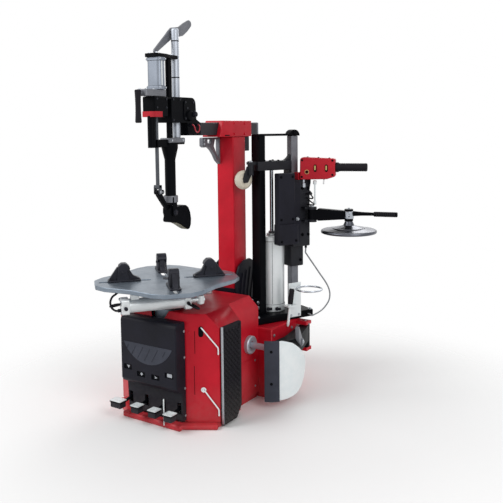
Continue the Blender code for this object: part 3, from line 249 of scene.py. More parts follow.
# Moulded covers: blue-black with a fine grain that breaks the highlights.
MOULDED_BLACK = Finish("moulded_black", "black_plastic", "#14141C", "#1C1C26", 0.46, 0.08, Relief.MOULDED,
                       1.5, 0.03, dust=0.20, sheen=0.14)
# The grey vent insert, blade guard and seams, and the painted reflection strip on the lift cylinder: a
# lighter moulding with the same grain.
MOULDED_GREY = Finish("moulded_grey", "vent_grey", "#333640", "#3E414C", 0.5, 0.07, Relief.MOULDED,
                      1.5, 0.03, sheen=0.2)
# Black enamel on the tool and the helper's frame: nearly pure black with little shine. It also colours the
# patches of painted shade in the panel's hole, the sleeve's slot, the rear louvres and the control box's
# slots.
ENAMEL_BLACK = Finish("enamel_black", "black_paint", "#06070A", "#0B0C10", 0.38, 0.08, Relief.SPRAYED,
                      2.0, 0.02, sheen=0.04)
# Rubber of the pad, grips and hoses: dull, with grey scuffs.
RUBBER_BLACK = Finish("rubber_black", "rubber", "#0F0E13", "#1A181E", 0.62, 0.10, Relief.CAST, 2.5, 0.05,
                      patch=60, dust=0.25, sheen=0.15)
# Anodised aluminium of the tool's air cylinder: a mid grey with satin lines along it.
ALUMINIUM = Finish("aluminium_satin", "aluminium", "#7C838E", "#8C939E", 0.40, 0.05, Relief.DRAWN,
                   1.2, 0.003, metallic=0.55, sheen=0.4)
# Bright drawn aluminium of the large cylinders and the pedals: nearly white, with the same lines.
ALUMINIUM_PALE = Finish("aluminium_pale", "aluminium", "#D9DEE0", "#E6EAEB", 0.38, 0.06, Relief.DRAWN,
                        1.2, 0.006, metallic=0.35, sheen=0.4)
# The ground table plate: a cool steel with crossing scratches.
STEEL_TABLE = Finish("steel_table", "table_steel", "#6F7A86", "#87919C", 0.36, 0.10, Relief.GROUND,
                     1.5, 0.012, metallic=0.7, patch=70)
# Phosphated steel of the jaws and the dark bolts: a dull blue-black.
STEEL_JAW = Finish("steel_jaw", "jaw_steel", "#1C1D24", "#282932", 0.44, 0.08, Relief.CAST, 2.0, 0.03,
                   metallic=0.2, patch=40, sheen=0.25)
# Grey castings: sandy and matt.
CAST_GREY = Finish("cast_grey_iron", "cast_grey", "#74767C", "#676970", 0.46, 0.08, Relief.CAST, 2.6, 0.05,
                   metallic=0.3, patch=50)
# The helper's cast carriage and roller arm: the same sandy skin, nearly black.
CAST_DARK = Finish("cast_dark_alloy", "cast_alloy", "#17181D", "#212228", 0.46, 0.08, Relief.CAST, 2.6, 0.04,
                   patch=60, sheen=0.2)
# Enamel on the sliding arm: a dark warm grey with a soft sheen.
ENAMEL_GREY = Finish("enamel_grey", "arm_grey", "#262327", "#302C31", 0.40, 0.07, Relief.SPRAYED, 2.0, 0.02,
                     sheen=0.2)
# Bright zinc-plated sheet and bars of the blade, the hooks and the holder: almost white, finely scratched.
# It also paints the highlight strip on the tool's air cylinder.
STEEL_BRIGHT = Finish("steel_bright", "blade_steel", "#E8F0F2", "#F2F7F8", 0.40, 0.08, Relief.GROUND,
                      1.5, 0.01, metallic=0.12, patch=60, sheen=0.4)
# Polished chrome of the lift's piston, the disc's clamp and the soap ring: a mirror with clear highlights.
CHROME = Finish("chrome_polished", "chrome", "#A3A8AF", "#AFB4BB", 0.22, 0.02, Relief.DRAWN, 3.0, 0.0006,
                metallic=1.0)
# Satin chrome of the guide tube, the bead rod and its washer: a soft pale gradient without mirror streaks.
CHROME_SATIN = Finish("chrome_satin", "chrome", "#A6ACB6", "#B3B9C2", 0.40, 0.03, Relief.DRAWN, 3.0, 0.001,
                      metallic=0.45, sheen=0.4)
# Darkened chrome of the pressing disc: smoky and softly blurred.
CHROME_DARK = Finish("chrome_smoky", "chrome", "#54565D", "#62646B", 0.30, 0.05, Relief.CAST, 2.0, 0.004,
                     metallic=1.0)
# Cream nylon of the roller: a warm, matt off-white.
NYLON = Finish("nylon_cream", "nylon", "#E6DFD0", "#D8CFBC", 0.46, 0.06, Relief.CAST, 3.0, 0.02, patch=30)
# Amber nylon under the claw: worn and greasy.
NYLON_AMBER = Finish("nylon_amber", "nylon", "#8F8554", "#5C5636", 0.42, 0.08, Relief.CAST, 3.0, 0.03,
                     patch=18)
# Iron of what is inside the cabinet and of the link rod: a rough mid grey.
IRON = Finish("iron_drive", "gear_iron", "#4C5056", "#3E4147", 0.5, 0.08, Relief.CAST, 2.5, 0.05,
              metallic=0.4)
# Zinc-plated fasteners and the pad's edge strip: a pale grey steel.
ZINC = Finish("zinc_pale", "chrome", "#A3A7AD", "#B4B8BD", 0.32, 0.08, Relief.CAST, 2.0, 0.01, metallic=0.85,
              patch=15)
# Red plastic of the short air line: smooth, a point of colour on the black housing.
HOSE_RED = Finish("hose_red", "rubber", "#B22334", "#A31C2C", 0.4, 0.06, Relief.SPRAYED, 2.0, 0.01)
# Pale grey plastic of the hanging air line: smooth and evenly lit.
HOSE_GREY = Finish("hose_grey", "vent_grey", "#8E9296", "#83878C", 0.4, 0.06, Relief.SPRAYED, 2.0, 0.01)
# Pale grey print on the front cover's windows: plain marks, a little worn.
PRINT_PALE = Finish("print_pale", "nylon", "#B4B8BE", "#A2A6AD", 0.5, 0.06, Relief.SPRAYED, 2.0, 0.01,
                    patch=12)
# Straw-coloured plastic of the toggles and the dial: pale warm spots on the red box.
PLASTIC_STRAW = Finish("plastic_straw", "nylon", "#E0C982", "#CDB46C", 0.45, 0.06, Relief.SPRAYED, 2.0, 0.01,
                       patch=12)


def circle(count: int) -> list[float]:
    """Angles in radians at even steps round a circle."""
    return [2 * math.pi * i / count for i in range(count)]


class Form:
    """A mesh in the making, in metres from the turntable's axis on the floor."""

    def __init__(self, place: Matrix | None = None) -> None:
        """Starts an empty mesh whose parts are drawn in a frame of their own."""
        self.work = bmesh.new()
        self.place = place or Matrix()

    def take(self, part: bmesh.types.BMesh, place: Matrix | None = None) -> "Form":
        """Adds a drawn part.

        Args:
            part: The part, which is used up.
            place: A frame other than the form's own.

        Returns:
            The form itself.
        """
        part.transform(self.place if place is None else place)
        bmesh.ops.recalc_face_normals(part, faces=part.faces[:])
        mesh = bpy.data.meshes.new("part")
        part.to_mesh(mesh)
        part.free()
        self.work.from_mesh(mesh)
        bpy.data.meshes.remove(mesh)
        return self

    @staticmethod
    def soften(part: bmesh.types.BMesh, edge: float, rounds: int, corner: float = 30.0) -> None:
        """Rounds the sharp edges of a part.

        Args:
            part: The part.
            edge: How wide the rounding is.
            rounds: How many faces it has.
            corner: The least angle in degrees of an edge that is rounded.
        """
        if edge <= 0.0:
            return
        least = math.radians(corner)
        sharp = [e for e in part.edges if e.is_manifold and e.calc_face_angle(0.0) > least]
        bmesh.ops.bevel(part, geom=sharp, offset=edge, segments=rounds, profile=0.5, affect="EDGES",
                        clamp_overlap=True)

    def block(self, low: Point, high: Point, edge: float = 0.002, rounds: int = 2) -> "Form":
        """Adds a box with rounded edges.

        Args:
            low: Its lowest corner.
            high: Its highest corner.
            edge: How wide the rounding is.
            rounds: How many faces the rounding has.

        Returns:
            The form itself.
        """
        part = bmesh.new()
        bmesh.ops.create_cube(part, size=1.0)
        low, high = Vector(low), Vector(high)
        part.transform(Matrix.Translation((low + high) / 2) @ Matrix.Diagonal((*(high - low), 1.0)))
        self.soften(part, edge, rounds)
        return self.take(part)

    def lathe(self, profile: Sequence[Point], at: Point, along: Point = UP, steps: int = 40,
              loop: bool = False) -> "Form":
        """Adds a turned part.

        Args:
            profile: Pairs of radius and height, from one end to the other.
            at: Where the height is zero.
            along: The axis.
            steps: How many sides it has.
            loop: Whether the profile is a closed section round the axis.

        Returns:
            The form itself.
        """
        part = bmesh.new()
        rings = []
        for radius, height in profile:
            if radius < 1e-6:
                rings.append([part.verts.new((0, 0, height))])
                continue
            ring = [(radius * math.cos(a), radius * math.sin(a), height) for a in circle(steps)]
            rings.append([part.verts.new(place) for place in ring])
        pairs = list(zip(rings, rings[1:])) + ([(rings[-1], rings[0])] if loop else [])
        for low, high in pairs:
            for i in range(steps):
                j = (i + 1) % steps
                corners = [low[i % len(low)], low[j % len(low)], high[j % len(high)], high[i % len(high)]]
                corners = list(dict.fromkeys(corners))
                if len(corners) > 2:
                    part.faces.new(corners)
        if not loop:
            for ring in (rings[0], rings[-1]):
                if len(ring) > 1:
                    part.faces.new(ring)
        turn = Vector(UP).rotation_difference(Vector(along)).to_matrix().to_4x4()
        return self.take(part, self.place @ Matrix.Translation(at) @ turn)

    def rod(self, radius: float, start: Point, end: Point, edge: float = 0.001, steps: int = 28) -> "Form":
        """Adds a round bar with eased ends.

        Args:
            radius: Its radius.
            start: One end.
            end: The other end.
            edge: How far its ends are eased.
            steps: How many sides it has.

        Returns:
            The form itself.
        """
        way = Vector(end) - Vector(start)
        far = way.length
        near = edge * 0.3
        profile = ((0, 0), (radius - edge, 0), (radius - near, near), (radius, edge), (radius, far - edge),
                   (radius - near, far - near), (radius - edge, far), (0, far))
        return self.lathe(profile, start, way.normalized(), steps)

    def slab(self, outline: Sequence[Point], plane: str, low: float, high: float, edge: float = 0.0015,
             rounds: int = 2) -> "Form":
        """Adds a plate cut to an outline.

        Args:
            outline: Its corners in the plane.
            plane: Which two axes the corners are given in.
            low: Where it starts on the third axis.
            high: Where it ends there.
            edge: How wide its rim's rounding is.
            rounds: How many faces the rounding has.

        Returns:
            The form itself.
        """
        order = ["XYZ".index(axis) for axis in plane]
        third = 3 - sum(order)
        part = bmesh.new()
        faces = []
        for level in (low, high):
            ring = []
            for a, b in outline:
                place = [0.0, 0.0, 0.0]
                place[order[0]], place[order[1]], place[third] = a, b, level
                ring.append(part.verts.new(place))
            faces.append(part.faces.new(ring))
        count = len(outline)
        bottom, top = faces[0].verts[:], faces[1].verts[:]
        for i in range(count):
            j = (i + 1) % count
            part.faces.new((bottom[i], bottom[j], top[j], top[i]))
        bmesh.ops.recalc_face_normals(part, faces=part.faces[:])
        self.soften(part, edge, rounds)
        return self.take(part)

    def tube(self, route: Sequence[Point], radius: float, sides: int = 14) -> "Form":
        """Adds a round tube along a route, with closed ends.

        Args:
            route: The points that its middle follows.
            radius: Its radius.
            sides: How many sides it has.

        Returns:
            The form itself.
        """
        points = [Vector(p) for p in route]
        part = bmesh.new()
        ways = [(points[min(i + 1, len(points) - 1)] - points[max(i - 1, 0)]).normalized()
                for i in range(len(points))]
        side = ways[0].orthogonal().normalized()
        rings = []
        for point, way in zip(points, ways):
            side = (side - way * side.dot(way)).normalized()
            other = way.cross(side)
            rings.append([part.verts.new(point + (side * math.cos(a) + other * math.sin(a)) * radius)
                          for a in circle(sides)])
        for low, high in zip(rings, rings[1:]):
            for i in range(sides):
                j = (i + 1) % sides
                part.faces.new((low[i], low[j], high[j], high[i]))
        part.faces.new(rings[0])
        part.faces.new(rings[-1])
        return self.take(part)

    def cad(self, node: str, edge: float = 0.0, rounds: int = 2, corner: float = 50.0) -> "Form":
        """Adds a merged copy of a CAD node, with its sharp edges eased.

        Args:
            node: The node's name.
            edge: How wide the easing is.
            rounds: How many faces it has.
            corner: The least angle in degrees of an edge that is eased.

        Returns:
            The form itself.
        """
        part = bmesh.new()
        part.from_mesh(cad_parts[node].data)
        bmesh.ops.remove_doubles(part, verts=part.verts[:], dist=2e-5)
        bmesh.ops.dissolve_limit(part, angle_limit=math.radians(0.4), verts=part.verts[:],
                                 edges=part.edges[:])
        self.soften(part, edge, rounds, corner)
        return self.take(part, Matrix.Translation(PLAN))

    def piece(self, name: str, finish: Finish, body: str, replaces: Sequence[str] = (),
              corner: float = 38.0) -> bpy.types.Object:
        """Finishes the form as one piece of the machine.

        Args:
            name: The piece's name.
            finish: What it is finished in.
            body: The body that it rides on, or nothing, which leaves it on no body.
            replaces: CAD nodes that it stands for.
            corner: The angle in degrees from which an edge stays sharp.

        Returns:
            The finished object.
        """
        self.work.transform(Matrix.Translation(-PLAN))
        mesh = bpy.data.meshes.new(name)
        self.work.to_mesh(mesh)
        self.work.free()
        mesh.shade_smooth()
        mesh.set_sharp_from_angle(angle=math.radians(corner))
        mesh.materials.append(finish.material())
        obj = bpy.data.objects.new(name, mesh)
        bpy.context.scene.collection.objects.link(obj)
        even = obj.modifiers.new("even", "WEIGHTED_NORMAL")
        even.keep_sharp = True
        settle(obj)
        return join(obj, finish, body, replaces)


def settle(obj: bpy.types.Object) -> None:
    """Turns an object with its modifiers into a plain mesh.

    Args:
        obj: The object, whose modifiers are then removed.
    """
    depsgraph = bpy.context.evaluated_depsgraph_get()
    made = bpy.data.meshes.new_from_object(obj.evaluated_get(depsgraph), depsgraph=depsgraph)
    old = obj.data
    obj.modifiers.clear()
    obj.data = made
    bpy.data.meshes.remove(old)


def join(obj: bpy.types.Object, finish: Finish, body: str, replaces: Sequence[str] = ()) -> bpy.types.Object:
    """Makes a finished object part of the machine.

    Args:
        obj: The object.
        finish: What it is finished in.
        body: The body that it rides on.
        replaces: CAD nodes that it stands for.

    Returns:
        The same object.
    """
    if body:
        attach(obj, body)
    if replaces:
        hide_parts(*replaces)
    LOG.info("%s: %s on %s, %d faces", obj.name, finish.name, body, len(obj.data.polygons))
    return obj


def refined(node: str, finish: Finish, body: str, edge: float = 0.0,
            corner: float = 50.0) -> bpy.types.Object:
    """Makes a softened copy of one CAD node, which stands for it.

    Args:
        node: The node's name, and with an ending the piece's.
        finish: What it is finished in.
        body: The body that it rides on.
        edge: How wide its edges are eased.
        corner: The least angle in degrees of an edge that is eased.

    Returns:
        The finished object.
    """
    return Form().cad(node, edge, 2, corner).piece(node + "_skin", finish, body, (node,), corner=40.0)


def dress(node: str, finish: Finish) -> None:
    """Gives a CAD node that keeps its own mesh its finish.

    Args:
        node: The node's name.
        finish: What it is finished in.
    """
    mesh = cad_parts[node].data
    mesh.materials.clear()
    mesh.materials.append(finish.material())
    LOG.info("%s: %s", node, finish.name)


class Growth:
    """Geometry Nodes trees for what repeats over the machine: fasteners, studs and bars."""

    @staticmethod
    def tree(name: str,
             sockets: dict[str, str]) -> tuple[bpy.types.NodeTree, bpy.types.Node, bpy.types.Node]:
        """Starts a tree with named inputs.

        Args:
            name: The tree's name.
            sockets: Input name to socket type.

        Returns:
            The tree, its input node and its output node.
        """
        tree = bpy.data.node_groups.new(name, "GeometryNodeTree")
        tree.interface.new_socket("Geometry", in_out="INPUT", socket_type="NodeSocketGeometry")
        for label, kind in sockets.items():
            tree.interface.new_socket(label, in_out="INPUT", socket_type=kind)
        tree.interface.new_socket("Geometry", in_out="OUTPUT", socket_type="NodeSocketGeometry")
        return tree, add(tree, "NodeGroupInput"), add(tree, "NodeGroupOutput")

    @staticmethod
    def scatter(tree: bpy.types.NodeTree, source: bpy.types.Node, result: bpy.types.Node,
                shape: bpy.types.NodeSocket) -> None:
        """Ends a tree: the shape stands on every seed along its facing, realized and finished.

        Args:
            tree: The tree.
            source: Its input node.
            result: Its output node.
            shape: The geometry that repeats.
        """
        facing = add(tree, "GeometryNodeInputNamedAttribute", {"Name": "facing"}, data_type="FLOAT_VECTOR")
        upright = add(tree, "FunctionNodeAlignRotationToVector", {"Vector": facing.outputs[0]}, axis="Z")
        spread = add(tree, "GeometryNodeInstanceOnPoints", {
            "Points": source.outputs["Geometry"], "Instance": shape, "Rotation": upright.outputs[0]})
        real = add(tree, "GeometryNodeRealizeInstances", {0: spread.outputs[0]})
        done = add(tree, "GeometryNodeSetMaterial",
                   {0: real.outputs[0], "Material": source.outputs["Finish"]})
        tree.links.new(done.outputs[0], result.inputs[0])

    @classmethod
    def bolts(cls) -> bpy.types.NodeTree:
        """Makes the tree of bolts, once: a washer, a head with flats, and its eased crown.

        Returns:
            The tree.
        """
        known = bpy.data.node_groups.get("bolts")
        if known:
            return known
        tree, source, result = cls.tree("bolts", {
            "Sides": "NodeSocketInt", "Radius": "NodeSocketFloat", "Height": "NodeSocketFloat",
            "Washer": "NodeSocketFloat", "Finish": "NodeSocketMaterial"})
        size, tall = source.outputs["Radius"], source.outputs["Height"]
        parts = []
        half = add(tree, "ShaderNodeMath", {0: tall, 1: 0.5}, operation="MULTIPLY").outputs[0]
        small = add(tree, "ShaderNodeMath", {0: size, 1: 0.8}, operation="MULTIPLY").outputs[0]
        crown = add(tree, "ShaderNodeMath", {0: tall, 1: 0.18}, operation="MULTIPLY").outputs[0]
        head = add(tree, "GeometryNodeMeshCylinder",
                   {"Vertices": source.outputs["Sides"], "Radius": size, "Depth": tall}).outputs["Mesh"]
        lift = add(tree, "ShaderNodeCombineXYZ", {"Z": half}).outputs[0]
        parts.append(add(tree, "GeometryNodeTransform", {"Geometry": head, "Translation": lift}).outputs[0])
        cap = add(tree, "GeometryNodeMeshCone", {
            "Vertices": source.outputs["Sides"], "Radius Top": small, "Radius Bottom": size,
            "Depth": crown}).outputs["Mesh"]
        lift = add(tree, "ShaderNodeCombineXYZ", {"Z": tall}).outputs[0]
        parts.append(add(tree, "GeometryNodeTransform", {"Geometry": cap, "Translation": lift}).outputs[0])
        parts.append(add(tree, "GeometryNodeMeshCylinder", {
            "Vertices": 22, "Radius": source.outputs["Washer"], "Depth": 0.003}).outputs["Mesh"])
        whole = add(tree, "GeometryNodeJoinGeometry")
        for part in parts:
            tree.links.new(part, whole.inputs[0])
        cls.scatter(tree, source, result, whole.outputs[0])
        return tree

    @classmethod
    def studs(cls) -> bpy.types.NodeTree:
        """Makes the tree of studs, once: blunt cones with a few sides.

        Returns:
            The tree.
        """
        known = bpy.data.node_groups.get("studs")
        if known:
            return known
        tree, source, result = cls.tree("studs", {
            "Sides": "NodeSocketInt", "Foot": "NodeSocketFloat", "Top": "NodeSocketFloat",
            "Height": "NodeSocketFloat", "Finish": "NodeSocketMaterial"})
        cone = add(tree, "GeometryNodeMeshCone", {
            "Vertices": source.outputs["Sides"], "Radius Top": source.outputs["Top"],
            "Radius Bottom": source.outputs["Foot"], "Depth": source.outputs["Height"]}).outputs["Mesh"]
        cls.scatter(tree, source, result, cone)
        return tree

    @classmethod
    def bars(cls) -> bpy.types.NodeTree:
        """Makes the tree of short square bars that lie across their seeds, once.

        Returns:
            The tree.
        """
        known = bpy.data.node_groups.get("bars")
        if known:
            return known
        tree, source, result = cls.tree("bars", {"Size": "NodeSocketVector", "Finish": "NodeSocketMaterial"})
        cube = add(tree, "GeometryNodeMeshCube", {"Size": source.outputs["Size"]}).outputs["Mesh"]
        cls.scatter(tree, source, result, cube)
        return tree

    @staticmethod
    def grow(name: str, tree: bpy.types.NodeTree, spots: Sequence[Spot], values: dict[str, object],
             finish: Finish, body: str) -> bpy.types.Object:
        """Runs a tree over seeds and makes the result one piece.

        Args:
            name: The piece's name.
            tree: The tree.
            spots: Pairs of a place and the way that it faces.
            values: Input name to value.
            finish: What the piece is finished in.
            body: The body that it rides on.

        Returns:
            The finished object.
        """
        seeds = bpy.data.meshes.new(name)
        seeds.from_pydata([Vector(at) - PLAN for at, _ in spots], [], [])
        facing = seeds.attributes.new("facing", "FLOAT_VECTOR", "POINT")
        for i, (_, way) in enumerate(spots):
            facing.data[i].vector = Vector(way).normalized()
        obj = bpy.data.objects.new(name, seeds)
        bpy.context.scene.collection.objects.link(obj)
        modifier = obj.modifiers.new("growth", "NODES")
        modifier.node_group = tree
        for item in tree.interface.items_tree:
            if item.in_out == "INPUT" and item.name in values:
                modifier[item.identifier] = values[item.name]
            elif item.in_out == "INPUT" and item.name == "Finish":
                modifier[item.identifier] = finish.material()
        settle(obj)
        obj.data.shade_smooth()
        obj.data.set_sharp_from_angle(angle=math.radians(35.0))
        return join(obj, finish, body)


def bolts(name: str, spots: Sequence[Spot], radius: float, height: float, finish: Finish, body: str,
          sides: int = HEX_HEAD, washer: float = 1.4) -> bpy.types.Object:
    """Sets bolts or screws on a body.

    Args:
        name: The piece's name.
        spots: Pairs of a place and the way that it faces.
        radius: The heads' radius.
        height: The heads' height.
        finish: What they are finished in.
        body: The body that they ride on.
        sides: How many sides a head has.
        washer: The washer's radius, in heads.

    Returns:
        The finished object.
    """
    values = {"Sides": sides, "Radius": radius, "Height": height, "Washer": radius * washer}
    return Growth.grow(name, Growth.bolts(), spots, values, finish, body)


def arc(centre: Point, radius: float, start: float, end: float, count: int) -> list[tuple[float, float]]:
    """Points on a circle.

    Args:
        centre: Its middle.
        radius: Its radius.
        start: The first angle in degrees.
        end: The last angle in degrees.
        count: How many points there are.

    Returns:
        The points, from the first angle to the last.
    """
    angles = [math.radians(start + (end - start) * i / (count - 1)) for i in range(count)]
    return [(centre[0] + radius * math.cos(a), centre[1] + radius * math.sin(a)) for a in angles]


def rounded(low: Point, high: Point, radius: float, count: int = 5) -> list[tuple[float, float]]:
    """The outline of a rectangle with round corners.

    Args:
        low: Its lower left corner.
        high: Its upper right corner.
        radius: The corners' radius.
        count: How many points a corner has.

    Returns:
        The outline's points.
    """
    left, right = low[0] + radius, high[0] - radius
    bottom, top = low[1] + radius, high[1] - radius
    corners = (((right, top), 0), ((left, top), 90), ((left, bottom), 180), ((right, bottom), 270))
    return [p for middle, start in corners for p in arc(middle, radius, start, start + 90, count)]


def spots_in(place: Matrix, points: Sequence[Point], facing: Point) -> list[Spot]:
    """Places in a turned frame that all face one way there.

    Args:
        place: The frame.
        points: The places in it.
        facing: The way in it.

    Returns:
        Pairs of a place and a way.
    """
    way = place.to_3x3() @ Vector(facing)
    return [(place @ Vector(p), way) for p in points]


def both_sides(x: float, places: Sequence[Point]) -> list[Spot]:
    """Mirrored places at a distance from the middle, given along and up, that face outwards."""
    return [((side * x, y, z), (side, 0, 0)) for side in SIDES for y, z in places]


def span(side: int, near: float, far: float) -> list[float]:
    """The lower and the upper end of a stretch on one side of the middle."""
    return sorted((side * near, side * far))


def grid(first: Sequence[float], second: Sequence[float]) -> list[tuple[float, float]]:
    """Every pair of a value from one row and a value from another."""
    return [(a, b) for a in first for b in second]


def ribbed(radius: float, depth: float, start: float, pitch: float, count: int) -> list[tuple[float, float]]:
    """The turned profile of fine ribs that go up from a height at an even pitch."""
    return [(radius - depth * (k % 2), start + pitch * k) for k in range(count)]


def smooth_route(stations: Sequence[Point], count: int) -> list[Vector]:
    """Points at even steps along a smooth curve through the stations.

    Args:
        stations: The points that the curve passes.
        count: How many points there are.

    Returns:
        The points.
    """
    ends = [Vector(p) for p in (stations[0], *stations, stations[-1])]
    dense, steps = [], 24
    for a, b, c, d in zip(ends, ends[1:], ends[2:], ends[3:]):
        for i in range(steps):
            t = i / steps
            along = 2 * b + (c - a) * t + (2 * a - 5 * b + 4 * c - d) * t * t
            dense.append((along + (3 * b - a - 3 * c + d) * t * t * t) / 2)
    dense.append(ends[-1])
    lengths = [0.0]
    for a, b in zip(dense, dense[1:]):
        lengths.append(lengths[-1] + (b - a).length)
    route = []
    for k in range(count):
        want = lengths[-1] * k / (count - 1)
        i = next((j for j in range(1, len(lengths)) if lengths[j] >= want), len(lengths) - 1)
        share = (want - lengths[i - 1]) / (lengths[i] - lengths[i - 1])
        route.append(dense[i - 1].lerp(dense[i], share))
    return route


def line(name: str, stations: Sequence[Point], radius: float, finish: Finish, body: str,
         count: int = 40) -> bpy.types.Object:
    """Lays a short air line that is fixed at both ends.

    Args:
        name: The piece's name.
        stations: The points that it passes.
        radius: Its radius.
        finish: What it is finished in.
        body: The body that it rides on.
        count: How many points its route has.

    Returns:
        The finished object.
    """
    return Form().tube(smooth_route(stations, count), radius).piece(name, finish, body, corner=60.0)


@dataclass
class Studio:
    """A pale floor, soft lamps and the camera."""

    eye: Point = (2.258, -2.668, 1.440)
    azimuth: float = 33.27
    pitch: float = 5.86
    roll: float = -0.54
    lens: float = 50.51
    shift: float = -0.1

    def build(self) -> None:
        """Makes the floor, the lamps, the world and the camera."""
        self.floor()
        self.world()
        self.lamp("key_lamp", (-2.2, -3.2, 3.6), 2.6, 112.0)
        self.lamp("fill_lamp", (3.4, -1.6, 2.6), 2.4, 56.0)
        self.lamp("rear_lamp", (-0.6, 3.4, 3.2), 2.4, 50.0)
        self.camera()
        view = bpy.context.scene.view_settings
        view.view_transform = "Standard"

    def floor(self) -> None:
        """Lays a round pale floor that fades into the background at its rim."""
        part = bmesh.new()
        bmesh.ops.create_circle(part, cap_ends=True, segments=96, radius=3.4)
        mesh = bpy.data.meshes.new("floor")
        part.to_mesh(mesh)
        part.free()
        obj = bpy.data.objects.new("floor", mesh)
        bpy.context.scene.collection.objects.link(obj)
        paint = bpy.data.materials.new("floor_white")
        paint.use_nodes = True
        tree = paint.node_tree
        tree.nodes.clear()
        coords = add(tree, "ShaderNodeTexCoord").outputs["Object"]
        far = add(tree, "ShaderNodeVectorMath", {0: coords}, operation="LENGTH").outputs["Value"]
        fade = add(tree, "ShaderNodeMapRange", {"Value": far, "From Min": 0.8, "From Max": 1.9},
                   interpolation_type="SMOOTHSTEP").outputs["Result"]
        cover = add(tree, "ShaderNodeBsdfDiffuse", {"Color": linear("#F6F6F6")}).outputs[0]
        clear = add(tree, "ShaderNodeBsdfTransparent").outputs[0]
        both = add(tree, "ShaderNodeMixShader", {0: fade, 1: cover, 2: clear}).outputs[0]
        add(tree, "ShaderNodeOutputMaterial", {"Surface": both})
        mesh.materials.append(paint)

    def world(self) -> None:
        """Makes a white background that lights the machine softly."""
        world = bpy.data.worlds.new("studio")
        bpy.context.scene.world = world
        world.use_nodes = True
        tree = world.node_tree
        tree.nodes.clear()
        path = add(tree, "ShaderNodeLightPath").outputs
        seen = path["Is Camera Ray"]
        for kind in ("Is Glossy Ray", "Is Transmission Ray"):
            seen = add(tree, "ShaderNodeMath", {0: seen, 1: path[kind]}, operation="MAXIMUM").outputs[0]
        soft = add(tree, "ShaderNodeBackground", {"Color": (1, 1, 1, 1), "Strength": 0.45}).outputs[0]
        white = add(tree, "ShaderNodeBackground", {"Color": (1, 1, 1, 1), "Strength": 1.0}).outputs[0]
        both = add(tree, "ShaderNodeMixShader", {0: seen, 1: soft, 2: white}).outputs[0]
        add(tree, "ShaderNodeOutputWorld", {"Surface": both})

    def lamp(self, name: str, at: Point, size: float, power: float) -> None:
        """Hangs a soft lamp that faces the machine.

        Args:
            name: The lamp's name.
            at: Where it hangs, from the frame's origin.
            size: Its width.
            power: Its power in watts.
        """
        light = bpy.data.lights.new(name, "AREA")
        light.shape = "DISK"
        light.size = size
        light.energy = power
        obj = bpy.data.objects.new(name, light)
        bpy.context.scene.collection.objects.link(obj)
        obj.location = at
        obj.rotation_euler = (Vector((0, 0, 0.8)) - Vector(at)).to_track_quat("-Z", "Y").to_euler()

    def camera(self) -> None:
        """Sets the camera where the photograph was taken from."""
        az, el, roll = (math.radians(a) for a in (self.azimuth, self.pitch, self.roll))
        ahead = Vector((-math.sin(az) * math.cos(el), math.cos(az) * math.cos(el), -math.sin(el)))
        level = Vector((math.cos(az), math.sin(az), 0.0))
        up = level.cross(ahead)
        right = level * math.cos(roll) + up * math.sin(roll)
        up = right.cross(ahead)
        data = bpy.data.cameras.new("camera")
        data.lens = self.lens
        data.sensor_width = 36.0
        data.shift_y = self.shift
        obj = bpy.data.objects.new("camera", data)
        bpy.context.scene.collection.objects.link(obj)
        turn = Matrix((right, up, -ahead)).transposed().to_4x4()
        obj.matrix_world = Matrix.Translation(Vector(self.eye) - PLAN) @ turn
        bpy.context.scene.camera = obj


@dataclass
class Hoses:
    """The hanging air line of the helper and the looped hose under the turntable."""

    air_radius: float = 0.0042
    air_start: Point = (0.056, 0.262, 0.0)
    air_end_level: float = 0.406
    clamp_radius: float = 0.0055
    clamp_cap: float = -0.2532

    def build(self) -> None:
        """Lays both hoses along the routes of their solids."""
        self.hanging()
        self.looped()

    def hanging(self) -> None:
        """The pale line from the carriage, which hangs down and goes into the base."""
        top = HELPER @ Vector(self.air_start)
        ends = [HELPER @ Vector((s, 0.245, self.air_end_level)) for s in (0.142, 0.122, 0.1024)]
        steps = ((0, 0, 0.7726), (0, 0, 0.7590), (0, 0, 0.7440), (0.044, 0.056, 0.640),
                 (0.086, 0.106, 0.540), (0.092, 0.112, 0.470), (0.076, 0.064, 0.418))
        route = smooth_route([top + Vector(s) for s in steps] + ends, 40)
        fine = smooth_route(route, 120)
        hose = Form().tube(fine, self.air_radius).piece(
            "air_line", HOSE_GREY, "", ("air_hose",), corner=60.0)
        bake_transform(hose)

    def looped(self) -> None:
        """The black hose from the front clamp cylinder's cap to the hub."""
        cap, offset, level = self.clamp_cap, CLAMP_OFFSET, CLAMP_LEVEL
        spots = [(cap, offset, level + 0.010), (cap - 0.013, offset, level + 0.010),
                 (cap - 0.026, offset, level + 0.010), (cap - 0.044, offset - 0.022, level),
                 (cap - 0.030, offset - 0.052, level - 0.010), (cap + 0.050, offset - 0.064, level - 0.002)]
        spots += [(-r * 0.809, r * 0.588, level + 0.004) for r in (0.098, 0.082, 0.0656)]
        route = smooth_route([CLAMP @ Vector((along, -across, z)) for along, across, z in spots], 18)
        fine = smooth_route(route, 90)
        hose = Form().tube(fine, self.clamp_radius).piece(
            "clamp_line", RUBBER_BLACK, "turntable", ("clamp_hose",), corner=60.0)


